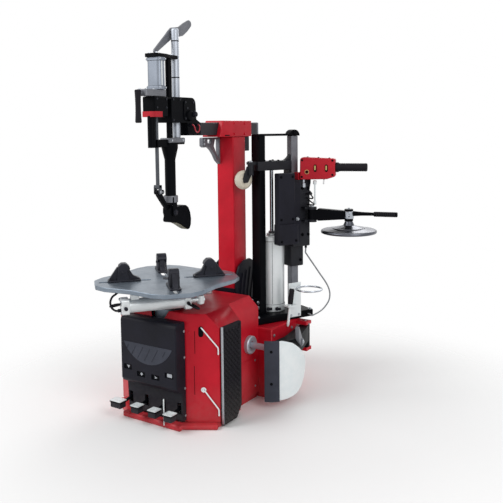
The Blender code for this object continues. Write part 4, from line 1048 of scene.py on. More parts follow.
@dataclass
class Cabinet:
    """The red cabinet with its black front cover, pedals, rubber pad and chassis."""

    cover_face: float = -0.160
    cover_side: float = 0.1772
    windows: Sequence[Point] = ((-0.132, 0.270), (-0.046, 0.246), (0.046, 0.246), (0.132, 0.270))
    window_half: Point = (0.0255, 0.0125)
    pedals: Sequence[Point] = ((-0.179, 0.037), (-0.052, 0.027), (0.058, 0.027), (0.155, 0.027))
    pedal_front: float = -0.2125
    pedal_rear: float = -0.1615
    tread_pitch: float = 0.0078
    pad_face: float = 0.3384
    pad_height: float = 0.470
    pad_rear: float = 0.146
    pad_cut: Point = (0.105, 0.012)
    pad_slope: float = 0.77
    stud_start: Point = (0.012, 0.028)
    stud_pitch: float = 0.027
    rod_radius: float = 0.0034
    rod_out: float = -0.007
    hook_eye: Point = (0.0018, 0.1914)
    boot_inner: float = 0.0716
    boot_outer: float = 0.0850
    rib_foot: float = 0.412
    hatch_face: float = 0.2625
    rear_face: float = 0.8302

    def build(self) -> None:
        """Makes the sheet metal, the mouldings and the pedals."""
        refined("cabinet_shell", ENAMEL_RED, "machine", 0.006)
        refined("front_cover", MOULDED_BLACK, "machine", 0.002)
        refined("vent_panel", MOULDED_GREY, "machine")
        refined("base_frame", ENAMEL_RED, "machine", 0.003)
        refined("rear_chassis", ENAMEL_RED, "machine", 0.003)
        refined("rubber_pad", RUBBER_BLACK, "machine", 0.002)
        refined("column_bracket", ENAMEL_BLACK, "machine", 0.001)
        for i in range(1, len(self.pedals) + 1):
            refined(f"pedal_{i}", ENAMEL_BLACK, f"pedal_{i}", 0.001)
        for node, finish in (("gearbox", IRON), ("drive_motor", IRON), ("drive_belt", RUBBER_BLACK),
                             ("bead_cylinder", IRON)):
            dress(node, finish)
        self.dress_cover()
        self.dress_panel()
        self.dress_pad()
        self.dress_pedals()
        self.dress_boot()
        self.dress_chassis()

    def dress_cover(self) -> None:
        """Sets the windows' inserts and marks, the side screws and the upright bar."""
        inserts, marks = Form(), Form()
        shapes = (((-0.010, 0.007), (0.010, 0.007), (0.002, -0.009)),
                  ((-0.009, 0.0), (0.0, -0.009), (0.009, 0.0), (0.0, 0.009)),
                  ((-0.009, -0.008), (0.010, -0.002), (-0.009, 0.006), (-0.004, -0.002)),
                  ((-0.015, -0.009), (0.015, -0.009), (0.015, 0.009), (-0.015, 0.009)))
        back = self.cover_face + 0.007
        wide, tall = self.window_half
        for (x, z), shape in zip(self.windows, shapes):
            pane = rounded((x - wide, z - tall), (x + wide, z + tall), 0.003)
            inserts.slab(pane, "XZ", back - 0.002, back + 0.001, 0.0006)
            marks.slab([(x + a, z + b) for a, b in shape], "XZ", back - 0.0030, back - 0.0018, 0.0003, 1)
        inserts.piece("window_inserts", ENAMEL_BLACK, "machine")
        marks.piece("window_marks", PRINT_PALE, "machine")
        heads = both_sides(
            self.cover_side, ((-0.0967, 0.352), (-0.0953, 0.198), (-0.0967, 0.480), (-0.0953, 0.062)))
        bolts("cover_screws", heads, 0.0045, 0.003, ZINC, "machine", ROUND_HEAD, 1.5)
        bar = Form().block((0.0880, -0.1572, 0.014), (0.0932, -0.1518, 0.146), 0.0012)
        bar.piece("pedal_guard_bar", STEEL_BRIGHT, "machine")

    def dress_panel(self) -> None:
        """Sets the lever hooks, a black patch of painted shade where their hole is, and the seams on the
        slanted red panel.
        """
        dark = Form(PANEL)
        # The rounded black patch is painted shade where the hooks' hole is; the two thin bars are the
        # panel's seams.
        dark.slab(rounded((-0.0205, 0.450), (0.0035, 0.502), 0.0118), "XZ", -0.0012, 0.001, 0.0005)
        for x, low, high in ((-0.0383, 0.367, 0.480), (-0.0424, 0.163, 0.307)):
            seam = rounded((x - 0.0012, low), (x + 0.0012, high), 0.0011, 3)
            dark.slab(seam, "XZ", -0.0007, 0.001, 0.0002, 1)
        dark.piece("panel_hole_shade_and_seams", ENAMEL_BLACK, "machine")
        rods, out = Form(PANEL), self.rod_out
        upper = ((-0.008, 0.004, 0.494), (-0.002, -0.005, 0.492), (0.036, out, 0.446), (0.070, out, 0.404),
                 (0.0745, out, 0.392), (0.0745, out, 0.366))
        lower = ((0.0075, out, 0.186), (0.036, out, 0.146), (0.069, out, 0.101), (0.0740, out, 0.090),
                 (0.0745, out, 0.062))
        for stations in (upper, lower):
            rods.tube(smooth_route(stations, 40), self.rod_radius)
        ring = [(0.0095 + a, b) for a, b in arc((0, 0), self.rod_radius, 0, 315, 8)]
        x, z = self.hook_eye
        rods.lathe(ring, (x, out, z), BACK, 28, True)
        rods.rod(0.005, (x, 0.002, z), (x, -0.0125, z))
        rods.piece("lever_hooks", STEEL_BRIGHT, "machine")
        corners = [(x, 0, z) for x, z in grid((-0.066, 0.066), (0.052, 0.472))]
        heads = spots_in(PANEL, corners, FRONT)
        bolts("panel_screws", heads, 0.004, 0.0025, ENAMEL_RED, "machine", ROUND_HEAD, 1.5)

    def dress_pad(self) -> None:
        """Sets the pad's diamond studs, the strip along its edge and the foot under it."""
        spots, step = [], self.stud_pitch / 2
        first, foot = self.stud_start
        along, low = self.pad_cut
        for row in range(int(self.pad_height / step)):
            z = foot + row * step
            for column in range(6):
                y = first + column * self.stud_pitch + (row % 2) * step
                # No stud stands past the pad's rear edge or its slanted lower corner.
                if y < self.pad_rear and y - along < (z - low) * self.pad_slope:
                    spots.append(((self.pad_face, y, z), RIGHT))
        size = {"Sides": 4, "Foot": 0.0105, "Top": 0.005, "Height": 0.0055}
        Growth.grow("pad_studs", Growth.studs(), spots, size, RUBBER_BLACK, "machine")
        strip = Form().block((0.3280, -0.0045, 0.020), (0.3402, -0.0008, 0.500), 0.0012)
        strip.piece("pad_edge_strip", ZINC, "machine")
        places = ((0.016, 0.481), (0.140, 0.481), (0.016, 0.062))
        heads = [((self.pad_face + 0.0002, y, z), RIGHT) for y, z in places]
        bolts("pad_bolts", heads, 0.007, 0.004, RUBBER_BLACK, "machine", washer=1.5)
        profile = ((0, 0.0005), (0.019, 0.0005), (0.0215, 0.004), (0.0215, 0.020), (0.018, 0.0278),
                   (0, 0.0278))
        Form().lathe(profile, (0.292, 0.006, 0.0)).piece("corner_foot", ENAMEL_RED, "machine")

    def dress_pedals(self) -> None:
        """Sets the black block under each pedal's pad, the plate on it and the plate's treads."""
        front, rear = self.pedal_front, self.pedal_rear
        for i, (x, half) in enumerate(self.pedals, 1):
            body = f"pedal_{i}"
            left, right = x - half + 0.004, x + half - 0.004
            block = Form().block((left, front + 0.004, 0.062), (right, rear - 0.0045, 0.0884), 0.003)
            block.piece(body + "_block", MOULDED_BLACK, body)
            plate = rounded((x - half, front), (x + half, rear), 0.006)
            Form().slab(plate, "XY", 0.0962, 0.0996, 0.001).piece(body + "_plate", ALUMINIUM_PALE, body)
            spots = [((x, front + 0.007 + self.tread_pitch * k, 0.0997), UP) for k in range(6)]
            size = {"Size": (2 * half - 0.012, 0.0026, 0.0018)}
            Growth.grow(body + "_treads", Growth.bars(), spots, size, ALUMINIUM_PALE, body)

    def dress_boot(self) -> None:
        """Sets the ribbed black boot round the column's hinge."""
        boot, ribs, foot = Form(), Form(), self.rib_foot
        cheek = ((0.482, 0.398), (0.698, 0.398), (0.698, 0.640), (0.676, 0.688), (0.622, 0.712),
                 (0.566, 0.708), (0.518, 0.682), (0.488, 0.620))
        for side in SIDES:
            boot.slab(cheek, "YZ", *span(side, self.boot_inner, self.boot_outer), 0.004, 3)
            for k in range(5):
                y = 0.494 + 0.036 * k
                end = y + 0.007
                top = min(0.668, 0.640 + 0.012 * k)
                lean = (top - foot) * 0.22
                rib = ((y, foot), (end, foot), (end + lean, top), (y + lean, top))
                ribs.slab(rib, "YZ", *span(side, 0.0845, 0.0895), 0.0015)
        boot.block((-self.boot_inner, 0.482, 0.398), (self.boot_inner, 0.4905, 0.560), 0.002)
        boot.piece("hinge_boot", MOULDED_BLACK, "machine")
        ribs.piece("hinge_boot_ribs", MOULDED_BLACK, "machine")
        ends = both_sides(self.boot_outer + 0.0002, ((0.585, 0.470),))
        bolts("hinge_bolts", ends, 0.016, 0.009, ZINC, "machine", washer=1.5)

    def dress_chassis(self) -> None:
        """Sets the bead rod's bright washer, the chassis's rear plate and hatches, black slots of painted
        shade for the plate's louvres, and their bolts.
        """
        ring = ((0.0195, 0.0), (0.0475, 0.0), (0.0485, 0.003), (0.0475, 0.020), (0.043, 0.0245),
                (0.034, 0.0255), (0.028, 0.0215), (0.0225, 0.0215), (0.0195, 0.020))
        washer = Form().lathe(ring, (0.2592, 0.338, 0.314), RIGHT, 48, True)
        washer.piece("bead_rod_washer", CHROME_SATIN, "machine")
        rear = self.rear_face
        plate = Form().slab(rounded((-0.130, 0.060), (0.190, 0.330), 0.012), "XZ", rear, rear + 0.003, 0.001)
        plate.piece("rear_plate", ENAMEL_RED, "machine")
        heads = [((x, rear + 0.0031, z), BACK) for x, z in grid((-0.112, 0.172), (0.078, 0.312))]
        heads += [((0.3452, y, 0.345), RIGHT) for y in (0.455, 0.640)]
        heads += [((-0.2002, y, z), LEFT) for y, z in grid((0.47, 0.79), (0.06, 0.345))]
        bolts("chassis_bolts", heads, 0.006, 0.004, ZINC, "machine", washer=1.5)
        # Black rounded slots proud of the rear plate: painted shade where the louvres open.
        vent_shade = Form()
        for k in range(7):
            z = 0.130 + 0.024 * k
            slot = rounded((-0.060, z), (0.120, z + 0.008), 0.0038)
            vent_shade.slab(slot, "XZ", rear + 0.0023, rear + 0.0036, 0.0004, 1)
        vent_shade.piece("rear_louvre_shade", ENAMEL_BLACK, "machine")
        hatches, screws, face = Form(), [], self.hatch_face
        for side, top in ((-1, 0.440), (1, 0.230)):
            low, high = span(side, face, face + 0.002)
            hatches.block((low, 0.225, 0.060), (high, 0.405, top), 0.001)
            corners = grid((0.240, 0.390), (0.075, top - 0.015))
            screws += [((side * (face + 0.0021), y, z), (side, 0, 0)) for y, z in corners]
        hatches.piece("side_hatches", ENAMEL_RED, "machine")
        bolts("hatch_screws", screws, 0.0042, 0.003, ZINC, "machine", ROUND_HEAD, 1.5)


@dataclass
class Turntable:
    """The steel table with its jaws and clamp cylinders."""

    jaw_radius: float = 0.212
    jaw_angle: float = 48.0
    jaw_half: float = 0.027
    top: float = 0.7004
    under: float = 0.6776
    hub_radius: float = 0.0655
    cap_half: float = 0.037

    def build(self) -> None:
        """Makes the plate, the jaws and the cylinders."""
        refined("turntable_plate", STEEL_TABLE, "turntable", 0.003)
        for i in range(4):
            self.jaw(i)
        self.dress_hub()
        for name, turn in (("front", CLAMP_TURN), ("rear", CLAMP_TURN + 180.0)):
            self.cylinder(name, turned_frame(0.0, 0.0, turn))
        self.pipes()

    def jaw(self, i: int) -> None:
        """Makes one jaw: a foot, a web that runs along the slot and a hooked head with grip ribs.

        Args:
            i: Which jaw it is, from zero.
        """
        angle = self.jaw_angle + 90.0 * i
        turn = math.radians(angle)
        place = turned_frame(self.jaw_radius * math.cos(turn), self.jaw_radius * math.sin(turn), angle)
        body, wide, z = f"jaw_{i + 1}", self.jaw_half, self.top
        cheek = wide - 0.002
        web = ((-0.078, 0.006), (0.078, 0.006), (0.074, 0.015), (0.034, 0.072), (-0.018, 0.072),
               (-0.042, 0.030), (-0.072, 0.015))
        head = ((-0.026, 0.006), (0.036, 0.006), (0.034, 0.030), (0.027, 0.080), (0.014, 0.090),
                (-0.010, 0.090), (-0.025, 0.076), (-0.029, 0.062), (-0.015, 0.048), (-0.022, 0.026))
        form = Form(place)
        form.slab(rounded((-0.080, -wide), (0.080, wide), 0.010), "XY", z, z + 0.0095, 0.0025)
        form.slab([(x, z + up) for x, up in web], "XZ", -0.0125, 0.0125, 0.003)
        form.slab([(x, z + up) for x, up in head], "XZ", -cheek, cheek, 0.0035, 3)
        form.piece(body + "_skin", STEEL_JAW, body, (body,))
        steps = [(-0.0160 + 0.0010 * k, 0.0, z + 0.030 + 0.006 * k) for k in range(3)]
        ribs = spots_in(place, steps, (-1, 0, 0.3))
        size = {"Size": (0.003, 2 * wide - 0.010, 0.004)}
        Growth.grow(body + "_ribs", Growth.bars(), ribs, size, CAST_GREY, body)
        pins = spots_in(place, [(0.010, cheek, z + 0.046)], BACK)
        pins += spots_in(place, [(0.010, -cheek, z + 0.046)], FRONT)
        bolts(body + "_pins", pins, 0.006, 0.003, STEEL_JAW, body)

    def dress_hub(self) -> None:
        """Sets the flange and the rotary ring under the plate, and the cap in its middle."""
        inner, under = self.hub_radius, self.under
        flange = ((inner, 0.640), (0.098, 0.646), (0.104, 0.652), (0.104, under), (inner, under))
        Form().lathe(flange, ORIGIN, UP, 56, True).piece("hub_flange", CAST_GREY, "turntable")
        ring = ((inner, 0.560), (0.078, 0.560), (0.080, 0.564), (0.080, 0.594), (0.076, 0.600),
                (inner, 0.600))
        Form().lathe(ring, ORIGIN, UP, 48, True).piece("rotary_ring", ENAMEL_BLACK, "turntable")
        cap = ((0, 0.7045), (0.016, 0.7045), (0.022, 0.7030), (0.024, 0.7002), (0, 0.7002))
        Form().lathe(cap, ORIGIN).piece("centre_cap", STEEL_JAW, "turntable")
        heads = [((0.086 * math.cos(a), 0.086 * math.sin(a), 0.6462), DOWN)
                 for a in (math.pi / 4 * k for k in range(8))]
        bolts("flange_bolts", heads, 0.006, 0.005, ZINC, "turntable")

    def cylinder(self, name: str, place: Matrix) -> None:
        """Makes one clamp cylinder with its caps, rod, lugs, nuts and fittings.

        Args:
            name: Which cylinder it is.
            place: A frame whose X runs along it.
        """
        y, z, half = -CLAMP_OFFSET, CLAMP_LEVEL, self.cap_half
        skin = Form(place).rod(0.0335, (-0.230, y, z), (0.060, y, z), 0.0005, 56)
        cap = rounded((y - half, z - half), (y + half, z + half), 0.010)
        for low, high in ((-0.2528, -0.2168), (0.0502, 0.0802)):
            skin.slab(cap, "YZ", low, high, 0.002)
        skin.rod(0.012, (0.070, y, z), (0.1552, y, z))
        skin.rod(0.018, (0.1352, y, z - 0.020), (0.1352, y, z + 0.020))
        for low in (-0.2068, -0.0048):
            skin.block((low, y - 0.015, z + 0.010), (low + 0.040, y + 0.015, self.under), 0.002)
        skin.piece(f"clamp_cylinder_{name}_skin", ALUMINIUM_PALE, "turntable", (f"clamp_cylinder_{name}",))
        corners = [(y + a, z + b) for a, b in grid((-0.028, 0.028), (-0.028, 0.028))]
        nuts = spots_in(place, [(-0.2530, *c) for c in corners], LEFT)
        nuts += spots_in(place, [(0.0802, *c) for c in corners], RIGHT)
        nuts += spots_in(place, [(0.1352, y, z - 0.020)], DOWN)
        bolts(f"clamp_nuts_{name}", nuts, 0.0052, 0.005, ZINC, "turntable")
        fittings, out = Form(place), y - half
        ports = [((x, out + 0.002, z - 0.004), (x, out - 0.018, z - 0.004)) for x in (-0.235, 0.065)]
        ports.append(((0.050, -0.046, 0.590), (0.057, -0.053, 0.590)))
        ports.append(((-0.2516, y, z - 0.020), (-0.2680, y, z - 0.020)))
        for start, end in ports:
            fittings.rod(0.0085, start, end, 0.0015, 20)
        fittings.piece(f"clamp_fittings_{name}", MOULDED_BLACK, "turntable")

    def pipes(self) -> None:
        """Bends the front clamp cylinder's two short black pipes, from its caps to the table and the hub."""
        y, z = -CLAMP_OFFSET, CLAMP_LEVEL
        out = y - self.cap_half
        loop = ((-0.264, y, z - 0.020), (-0.278, y, z - 0.019), (-0.295, y + 0.002, z - 0.004),
                (-0.301, y + 0.003, z + 0.022), (-0.292, y + 0.004, z + 0.046),
                (-0.276, y + 0.004, z + 0.058), (-0.262, y + 0.004, z + 0.067))
        line("clamp_loop_front", [CLAMP @ Vector(p) for p in loop], 0.0050, RUBBER_BLACK, "turntable", 48)
        pipe = ((0.065, out - 0.014, z - 0.004), (0.065, out - 0.030, z - 0.006),
                (0.092, out - 0.040, z - 0.022), (0.116, out - 0.010, z - 0.034),
                (0.112, y + 0.030, z - 0.036), (0.088, -0.076, 0.584), (0.066, -0.060, 0.590),
                (0.054, -0.050, 0.590))
        line("clamp_pipe_front", [CLAMP @ Vector(p) for p in pipe], 0.0045, RUBBER_BLACK, "turntable", 64)


@dataclass
class ColumnArm:
    """The red column and sleeve, the cast brace and the sliding arm."""

    sleeve_side: float = 0.0602
    knob_at: Point = (0.0454, 0.165, 1.515)
    knob_radius: float = 0.0138
    housing_side: float = 0.0452
    fitting_level: float = 1.462

    def build(self) -> None:
        """Makes the column, the sleeve, the brace and the arm."""
        refined("column", ENAMEL_RED, "column", 0.004)
        refined("arm_sleeve", ENAMEL_RED, "column", 0.004)
        refined("arm_brace", CAST_GREY, "column", 0.003)
        refined("arm_tube", ENAMEL_GREY, "arm", 0.003)
        refined("tool_housing", ENAMEL_BLACK, "arm", 0.003)
        self.dress_column()
        self.dress_housing()
        self.knob()

    def dress_column(self) -> None:
        """Sets the dark stop under the sleeve, thin black bars of painted shade where the sleeve's slot is,
        and the arm's end cap.
        """
        stop = Form().block((-0.0465, 0.6365, 1.3165), (0.0465, 0.6855, 1.3975), 0.004, 3)
        stop.piece("sleeve_stop", MOULDED_BLACK, "column")
        # Thin black bars proud of the sleeve's sides: painted shade where its slot is.
        slots = Form()
        for side in SIDES:
            low, high = span(side, 0.0590, 0.0606)
            slots.block((low, 0.428, 1.4025), (high, 0.474, 1.4085), 0.0006, 1)
        slots.piece("sleeve_slot_shade", ENAMEL_BLACK, "column")
        cap = Form().block((-0.0350, 0.784, 1.4065), (0.0350, 0.8035, 1.4765), 0.006, 3)
        cap.piece("arm_end_cap", CAST_GREY, "arm")
        heads = both_sides(self.sleeve_side, grid((0.520, 0.620), (1.412, 1.470)))
        bolts("sleeve_screws", heads, 0.0045, 0.003, ENAMEL_RED, "column", ROUND_HEAD, 1.6)
        studs = [((-0.0292, 0.363, z), RIGHT) for z in (1.362, 1.382)]
        bolts("brace_bolts", studs, 0.0055, 0.004, ZINC, "column")

    def dress_housing(self) -> None:
        """Sets the lock cover, bolts, fittings and the red line on the tool housing."""
        x = self.housing_side
        boss = ((0, 0.0), (0.026, 0.0), (0.027, 0.003), (0.024, 0.011), (0.018, 0.013), (0, 0.013))
        on_plate = ((0.108, 1.574), (0.172, 1.574), (0.108, 1.494), (0.123, 1.545))
        beside = ((0.020, 1.586), (0.020, 1.486), (0.072, 1.586))
        for side, name, level in ((1, "right", 1.508), (-1, "left", 1.535)):
            way = (side, 0, 0)
            outline = rounded((0.098, 1.484), (0.182, 1.584), 0.016)
            plate = Form().slab(outline, "YZ", *span(side, x - 0.001, x + 0.0045), 0.0015)
            plate.lathe(boss, (side * (x + 0.004), 0.140, level), way, 36)
            plate.piece(f"lock_cover_{name}", ENAMEL_BLACK, "arm")
            spots = [((side * (x + 0.0045), y, z), way) for y, z in on_plate]
            spots += [((side * x, y, z), way) for y, z in beside]
            bolts(f"housing_bolts_{name}", spots, 0.0048, 0.0035, STEEL_JAW, "arm", washer=1.3)
        fittings, z = Form(), self.fitting_level
        for y in (0.150, 0.196):
            fittings.rod(0.0075, (0.0445, y, z), (0.060, y, z), 0.001, 18)
        fittings.piece("housing_fittings", MOULDED_BLACK, "arm")
        loop = ((0.050, 0.150, z), (0.062, 0.150, z), (0.070, 0.152, z - 0.010), (0.072, 0.158, z - 0.028),
                (0.072, 0.173, z - 0.0375), (0.072, 0.188, z - 0.028), (0.070, 0.194, z - 0.010),
                (0.062, 0.196, z), (0.050, 0.196, z))
        line("housing_red_pipe", loop, 0.0034, HOSE_RED, "arm", 48)

    def knob(self) -> None:
        """Makes the lock knob, with grip flutes round it."""
        r = self.knob_radius
        profile = ((0, 0), (0.0060, 0), (0.0060, 0.0065), (0.0115, 0.0075), (r, 0.0105), (0.0140, 0.022),
                   (0.0125, 0.0275), (0.009, 0.0298), (0, 0.030))
        knob = Form().lathe(profile, self.knob_at, RIGHT, 36)
        knob.piece("lock_knob_skin", MOULDED_BLACK, "lock_knob", ("lock_knob",))
        x, y, z = self.knob_at
        ways = [(0.0, math.cos(a), math.sin(a)) for a in (2 * math.pi * k / 10 for k in range(10))]
        spots = [((x + 0.0165, y + r * way[1], z + r * way[2]), way) for way in ways]
        size = {"Sides": 6, "Foot": 0.0036, "Top": 0.0022, "Height": 0.0016}
        Growth.grow("lock_knob_flutes", Growth.studs(), spots, size, MOULDED_BLACK, "lock_knob")


@dataclass
class ToolHead:
    """The lifting tool: guides, air cylinder, handle, tool column, link and hooking claw."""

    tube_y: float = 0.097
    tube_radius: float = 0.019
    cylinder_span: Point = (1.648, 1.768)
    grip_y: float = -0.182
    grip_radius: float = 0.0155
    handle_top: float = 1.6304
    band_half: float = 0.0408
    head_side: float = 0.0308
    column_y: float = 0.040
    link_y: float = -0.056
    fork_inner: float = 0.0130
    fork_outer: float = 0.0175
    fork_top: float = 1.172
    horn_half: float = 0.0112
    lever_pivot: Point = (0.100, 1.912)
    claw_pivot: Point = (0.035, 1.030)

    def build(self) -> None:
        """Makes the tool's pieces and what is fixed on them."""
        self.guides()
        self.cylinder()
        self.handle()
        self.column()
        self.claw()
        self.link()

    def guides(self) -> None:
        """Makes the chromed tube with its rings, the post with its top plate and the hand lever."""
        y, r = self.tube_y, self.tube_radius
        profile = ((0, 1.3994), (r - 0.001, 1.3994), (r, 1.4004), (r, 1.926), (r - 0.002, 1.933),
                   (r - 0.007, 1.937), (0, 1.938))
        tube = Form().lathe(profile, (0, y, 0), UP, 56)
        tube.rod(0.007, (0, *self.lever_pivot), (-0.044, *self.lever_pivot))
        tube.piece("guide_tube_skin", CHROME_SATIN, "tool", ("guide_tube",))
        rings = Form()
        section = ((-0.001, -0.003), (0.0006, -0.0024), (0.0006, 0.0024), (-0.001, 0.003))
        for z in (1.696, 1.874):
            rings.lathe([(r + out, z + up) for out, up in section], (0, y, 0), UP, 48, True)
        rings.piece("guide_rings", ENAMEL_BLACK, "tool")
        refined("guide_post", ENAMEL_BLACK, "tool", 0.0015)
        places = ((0, 0.0660), (-0.022, -0.070), (0.022, -0.070), (0, -0.020))
        bolts("top_plate_bolts", [((*at, 1.8022), UP) for at in places], 0.006, 0.005, ZINC, "tool")
        refined("top_lever", CAST_GREY, "top_lever", 0.002)
        bolts("lever_bolt", [((-0.0438, *self.lever_pivot), LEFT)], 0.0095, 0.006, ZINC, "tool")

    def cylinder(self) -> None:
        """Makes the square air cylinder between its two end caps, with a painted highlight down its side."""
        low, high = self.cylinder_span
        barrel = rounded((-0.041, -0.0755), (0.041, -0.0235), 0.020, 8)
        skin = Form().slab(barrel, "XY", low, high, 0.0004, 1)
        cap = rounded((-0.0425, -0.077), (0.0425, -0.022), 0.014)
        for start, end in ((1.6312, low), (high, 1.7834)):
            skin.slab(cap, "XY", start, end, 0.0012)
        skin.piece("tool_cylinder_skin", ALUMINIUM, "tool", ("tool_cylinder",))
        seams, seam = Form(), rounded((-0.0420, -0.0765), (0.0420, -0.0225), 0.018)
        for z in self.cylinder_span:
            seams.slab(seam, "XY", z - 0.0012, z + 0.0012, 0.0003, 1)
        seams.piece("tool_cylinder_seams", MOULDED_BLACK, "tool")
        # A near-white strip down the middle of the cylinder's side: a painted highlight band.
        stripe = Form().block((0.0405, -0.0590, low + 0.002), (0.0416, -0.0510, high - 0.002), 0.0004, 1)
        stripe.piece("tool_cylinder_painted_highlight", STEEL_BRIGHT, "tool")
        heads = both_sides(0.0426, grid((-0.068, -0.031), (1.640, 1.776)))
        bolts("tool_cylinder_bolts", heads, 0.0038, 0.003, ZINC, "tool", ROUND_HEAD, 1.2)

    def handle(self) -> None:
        """Makes the handle's plate and grip, and the slide block with its red band."""
        outline = rounded((-0.032, -0.160), (0.032, -0.010), 0.012)
        plate = Form().slab(outline, "XY", 1.5984, self.handle_top, 0.003)
        plate.rod(0.012, (0, -0.150, 1.612), (0, self.grip_y, 1.612))
        plate.piece("handle_plate", CAST_GREY, "tool", ("handle_bracket",))
        heads = [((x, y, self.handle_top), UP) for x, y in grid((-0.020, 0.020), (-0.146, -0.094))]
        bolts("handle_bolts", heads, 0.005, 0.004, ZINC, "tool")
        r = self.grip_radius
        profile = [(0, 1.472), (r - 0.004, 1.472), (r - 0.001, 1.475)]
        for k in range(29):
            waist = 0.0022 * math.sin(math.pi * k / 28)
            profile.append((r - waist - 0.0007 * (k % 2), 1.480 + 0.005 * k))
        profile += [(r - 0.001, 1.6235), (r - 0.004, 1.626), (0, 1.626)]
        Form().lathe(profile, (0, self.grip_y, 0)).piece("handle_grip", RUBBER_BLACK, "tool", corner=50.0)
        refined("slide_block", ENAMEL_BLACK, "tool", 0.003)
        band, out = Form(), self.band_half
        for low, high in (((-out, -0.1088), (out, -0.1072)), ((-out, -0.1080), (-0.0392, -0.0560)),
                          ((0.0392, -0.1080), (out, -0.0560))):
            band.block((*low, 1.5002), (*high, 1.527), 0.0005)
        band.piece("slide_band", MOULDED_RED, "tool")
        heads = both_sides(0.0402, ((-0.026, 1.545), (-0.094, 1.545), (-0.026, 1.586), (-0.094, 1.586)))
        bolts("slide_bolts", heads, 0.0045, 0.0035, STEEL_JAW, "tool", washer=1.3)

    def column(self) -> None:
        """Makes the tool column with its head cover, its grey collar, and the claw's spacer and bolts."""
        refined("tool_column", ENAMEL_BLACK, "tool", 0.001)
        out = self.head_side
        cover = Form().block((-out, 0.0032, 1.3745), (out, 0.1248, 1.3982), 0.003)
        cover.piece("tool_head_cover", CAST_GREY, "tool")
        heads = both_sides(out + 0.0001, ((0.022, 1.387), (0.106, 1.387)))
        bolts("tool_head_bolts", heads, 0.0048, 0.0035, ZINC, "tool", washer=1.3)
        section = ((0.0336, 1.0790), (0.0358, 1.0805), (0.0362, 1.0830), (0.0362, 1.1100), (0.0352, 1.1130),
                   (0.0336, 1.1132))
        collar = Form().lathe(section, (0, self.column_y, 0), UP, 48, True)
        collar.piece("tool_collar", CAST_GREY, "tool")
        y, z = self.claw_pivot
        spacer = Form().block((-0.021, y - 0.0155, z + 0.0374), (0.021, y + 0.0155, z + 0.0450), 0.001)
        spacer.piece("claw_spacer", RUBBER_BLACK, "tool")
        bolts("claw_bolts", both_sides(0.0350, (self.claw_pivot,)), 0.0105, 0.006, STEEL_JAW, "tool")

    def claw(self) -> None:
        """Makes the claw with its worn insert, and its horn's wide head that the link's fork slides on."""
        refined("mount_claw", ENAMEL_BLACK, "claw", 0.0015)
        outer = [(0.1720, 0.985), (0.1690, 0.954), (0.1586, 0.9350), (0.1458, 0.9310), (0.1196, 0.9430),
                 (0.0846, 0.9630), (0.0550, 0.9750)]
        inner = [(0.1600, 0.986), (0.1570, 0.963), (0.1510, 0.952), (0.1440, 0.949), (0.1230, 0.958),
                 (0.0900, 0.976), (0.0560, 0.984)]
        insert = Form().slab(outer + inner[::-1], "YZ", -0.0215, 0.0215, 0.0015)
        insert.piece("claw_insert", NYLON_AMBER, "claw")
        y, z = self.claw_pivot
        outline = rounded((y - 0.1095, z + 0.0955), (y - 0.0550, z + 0.1175), 0.0105)
        head = Form().slab(outline, "YZ", -self.horn_half, self.horn_half, 0.0015)
        head.piece("claw_horn_head", ENAMEL_BLACK, "claw")
        pins = both_sides(self.horn_half, ((y - 0.068, z + 0.1062),))
        bolts("claw_horn_pins", pins, 0.0040, 0.0012, ZINC, "claw", ROUND_HEAD, 1.0)

    def link(self) -> None:
        """Makes the link rod with the fork that holds the claw's horn, and the fork's pin."""
        y, out, top = self.link_y, self.fork_outer, self.fork_top
        link = Form().rod(0.009, (0, y, 1.152), (0, y, 1.525))
        cheek = rounded((y - 0.011, 1.126), (y + 0.011, top), 0.009)
        for side in SIDES:
            link.slab(cheek, "YZ", *span(side, self.fork_inner, out), 0.001)
        link.block((-out, y - 0.0108, 1.157), (out, y + 0.0108, top), 0.002)
        link.piece("link_rod_skin", IRON, "link_rod", ("link_rod",))
        pins = both_sides(out, ((y, 1.138),))
        bolts("link_pins", pins, 0.006, 0.004, ZINC, "link_rod", ROUND_HEAD, 1.3)


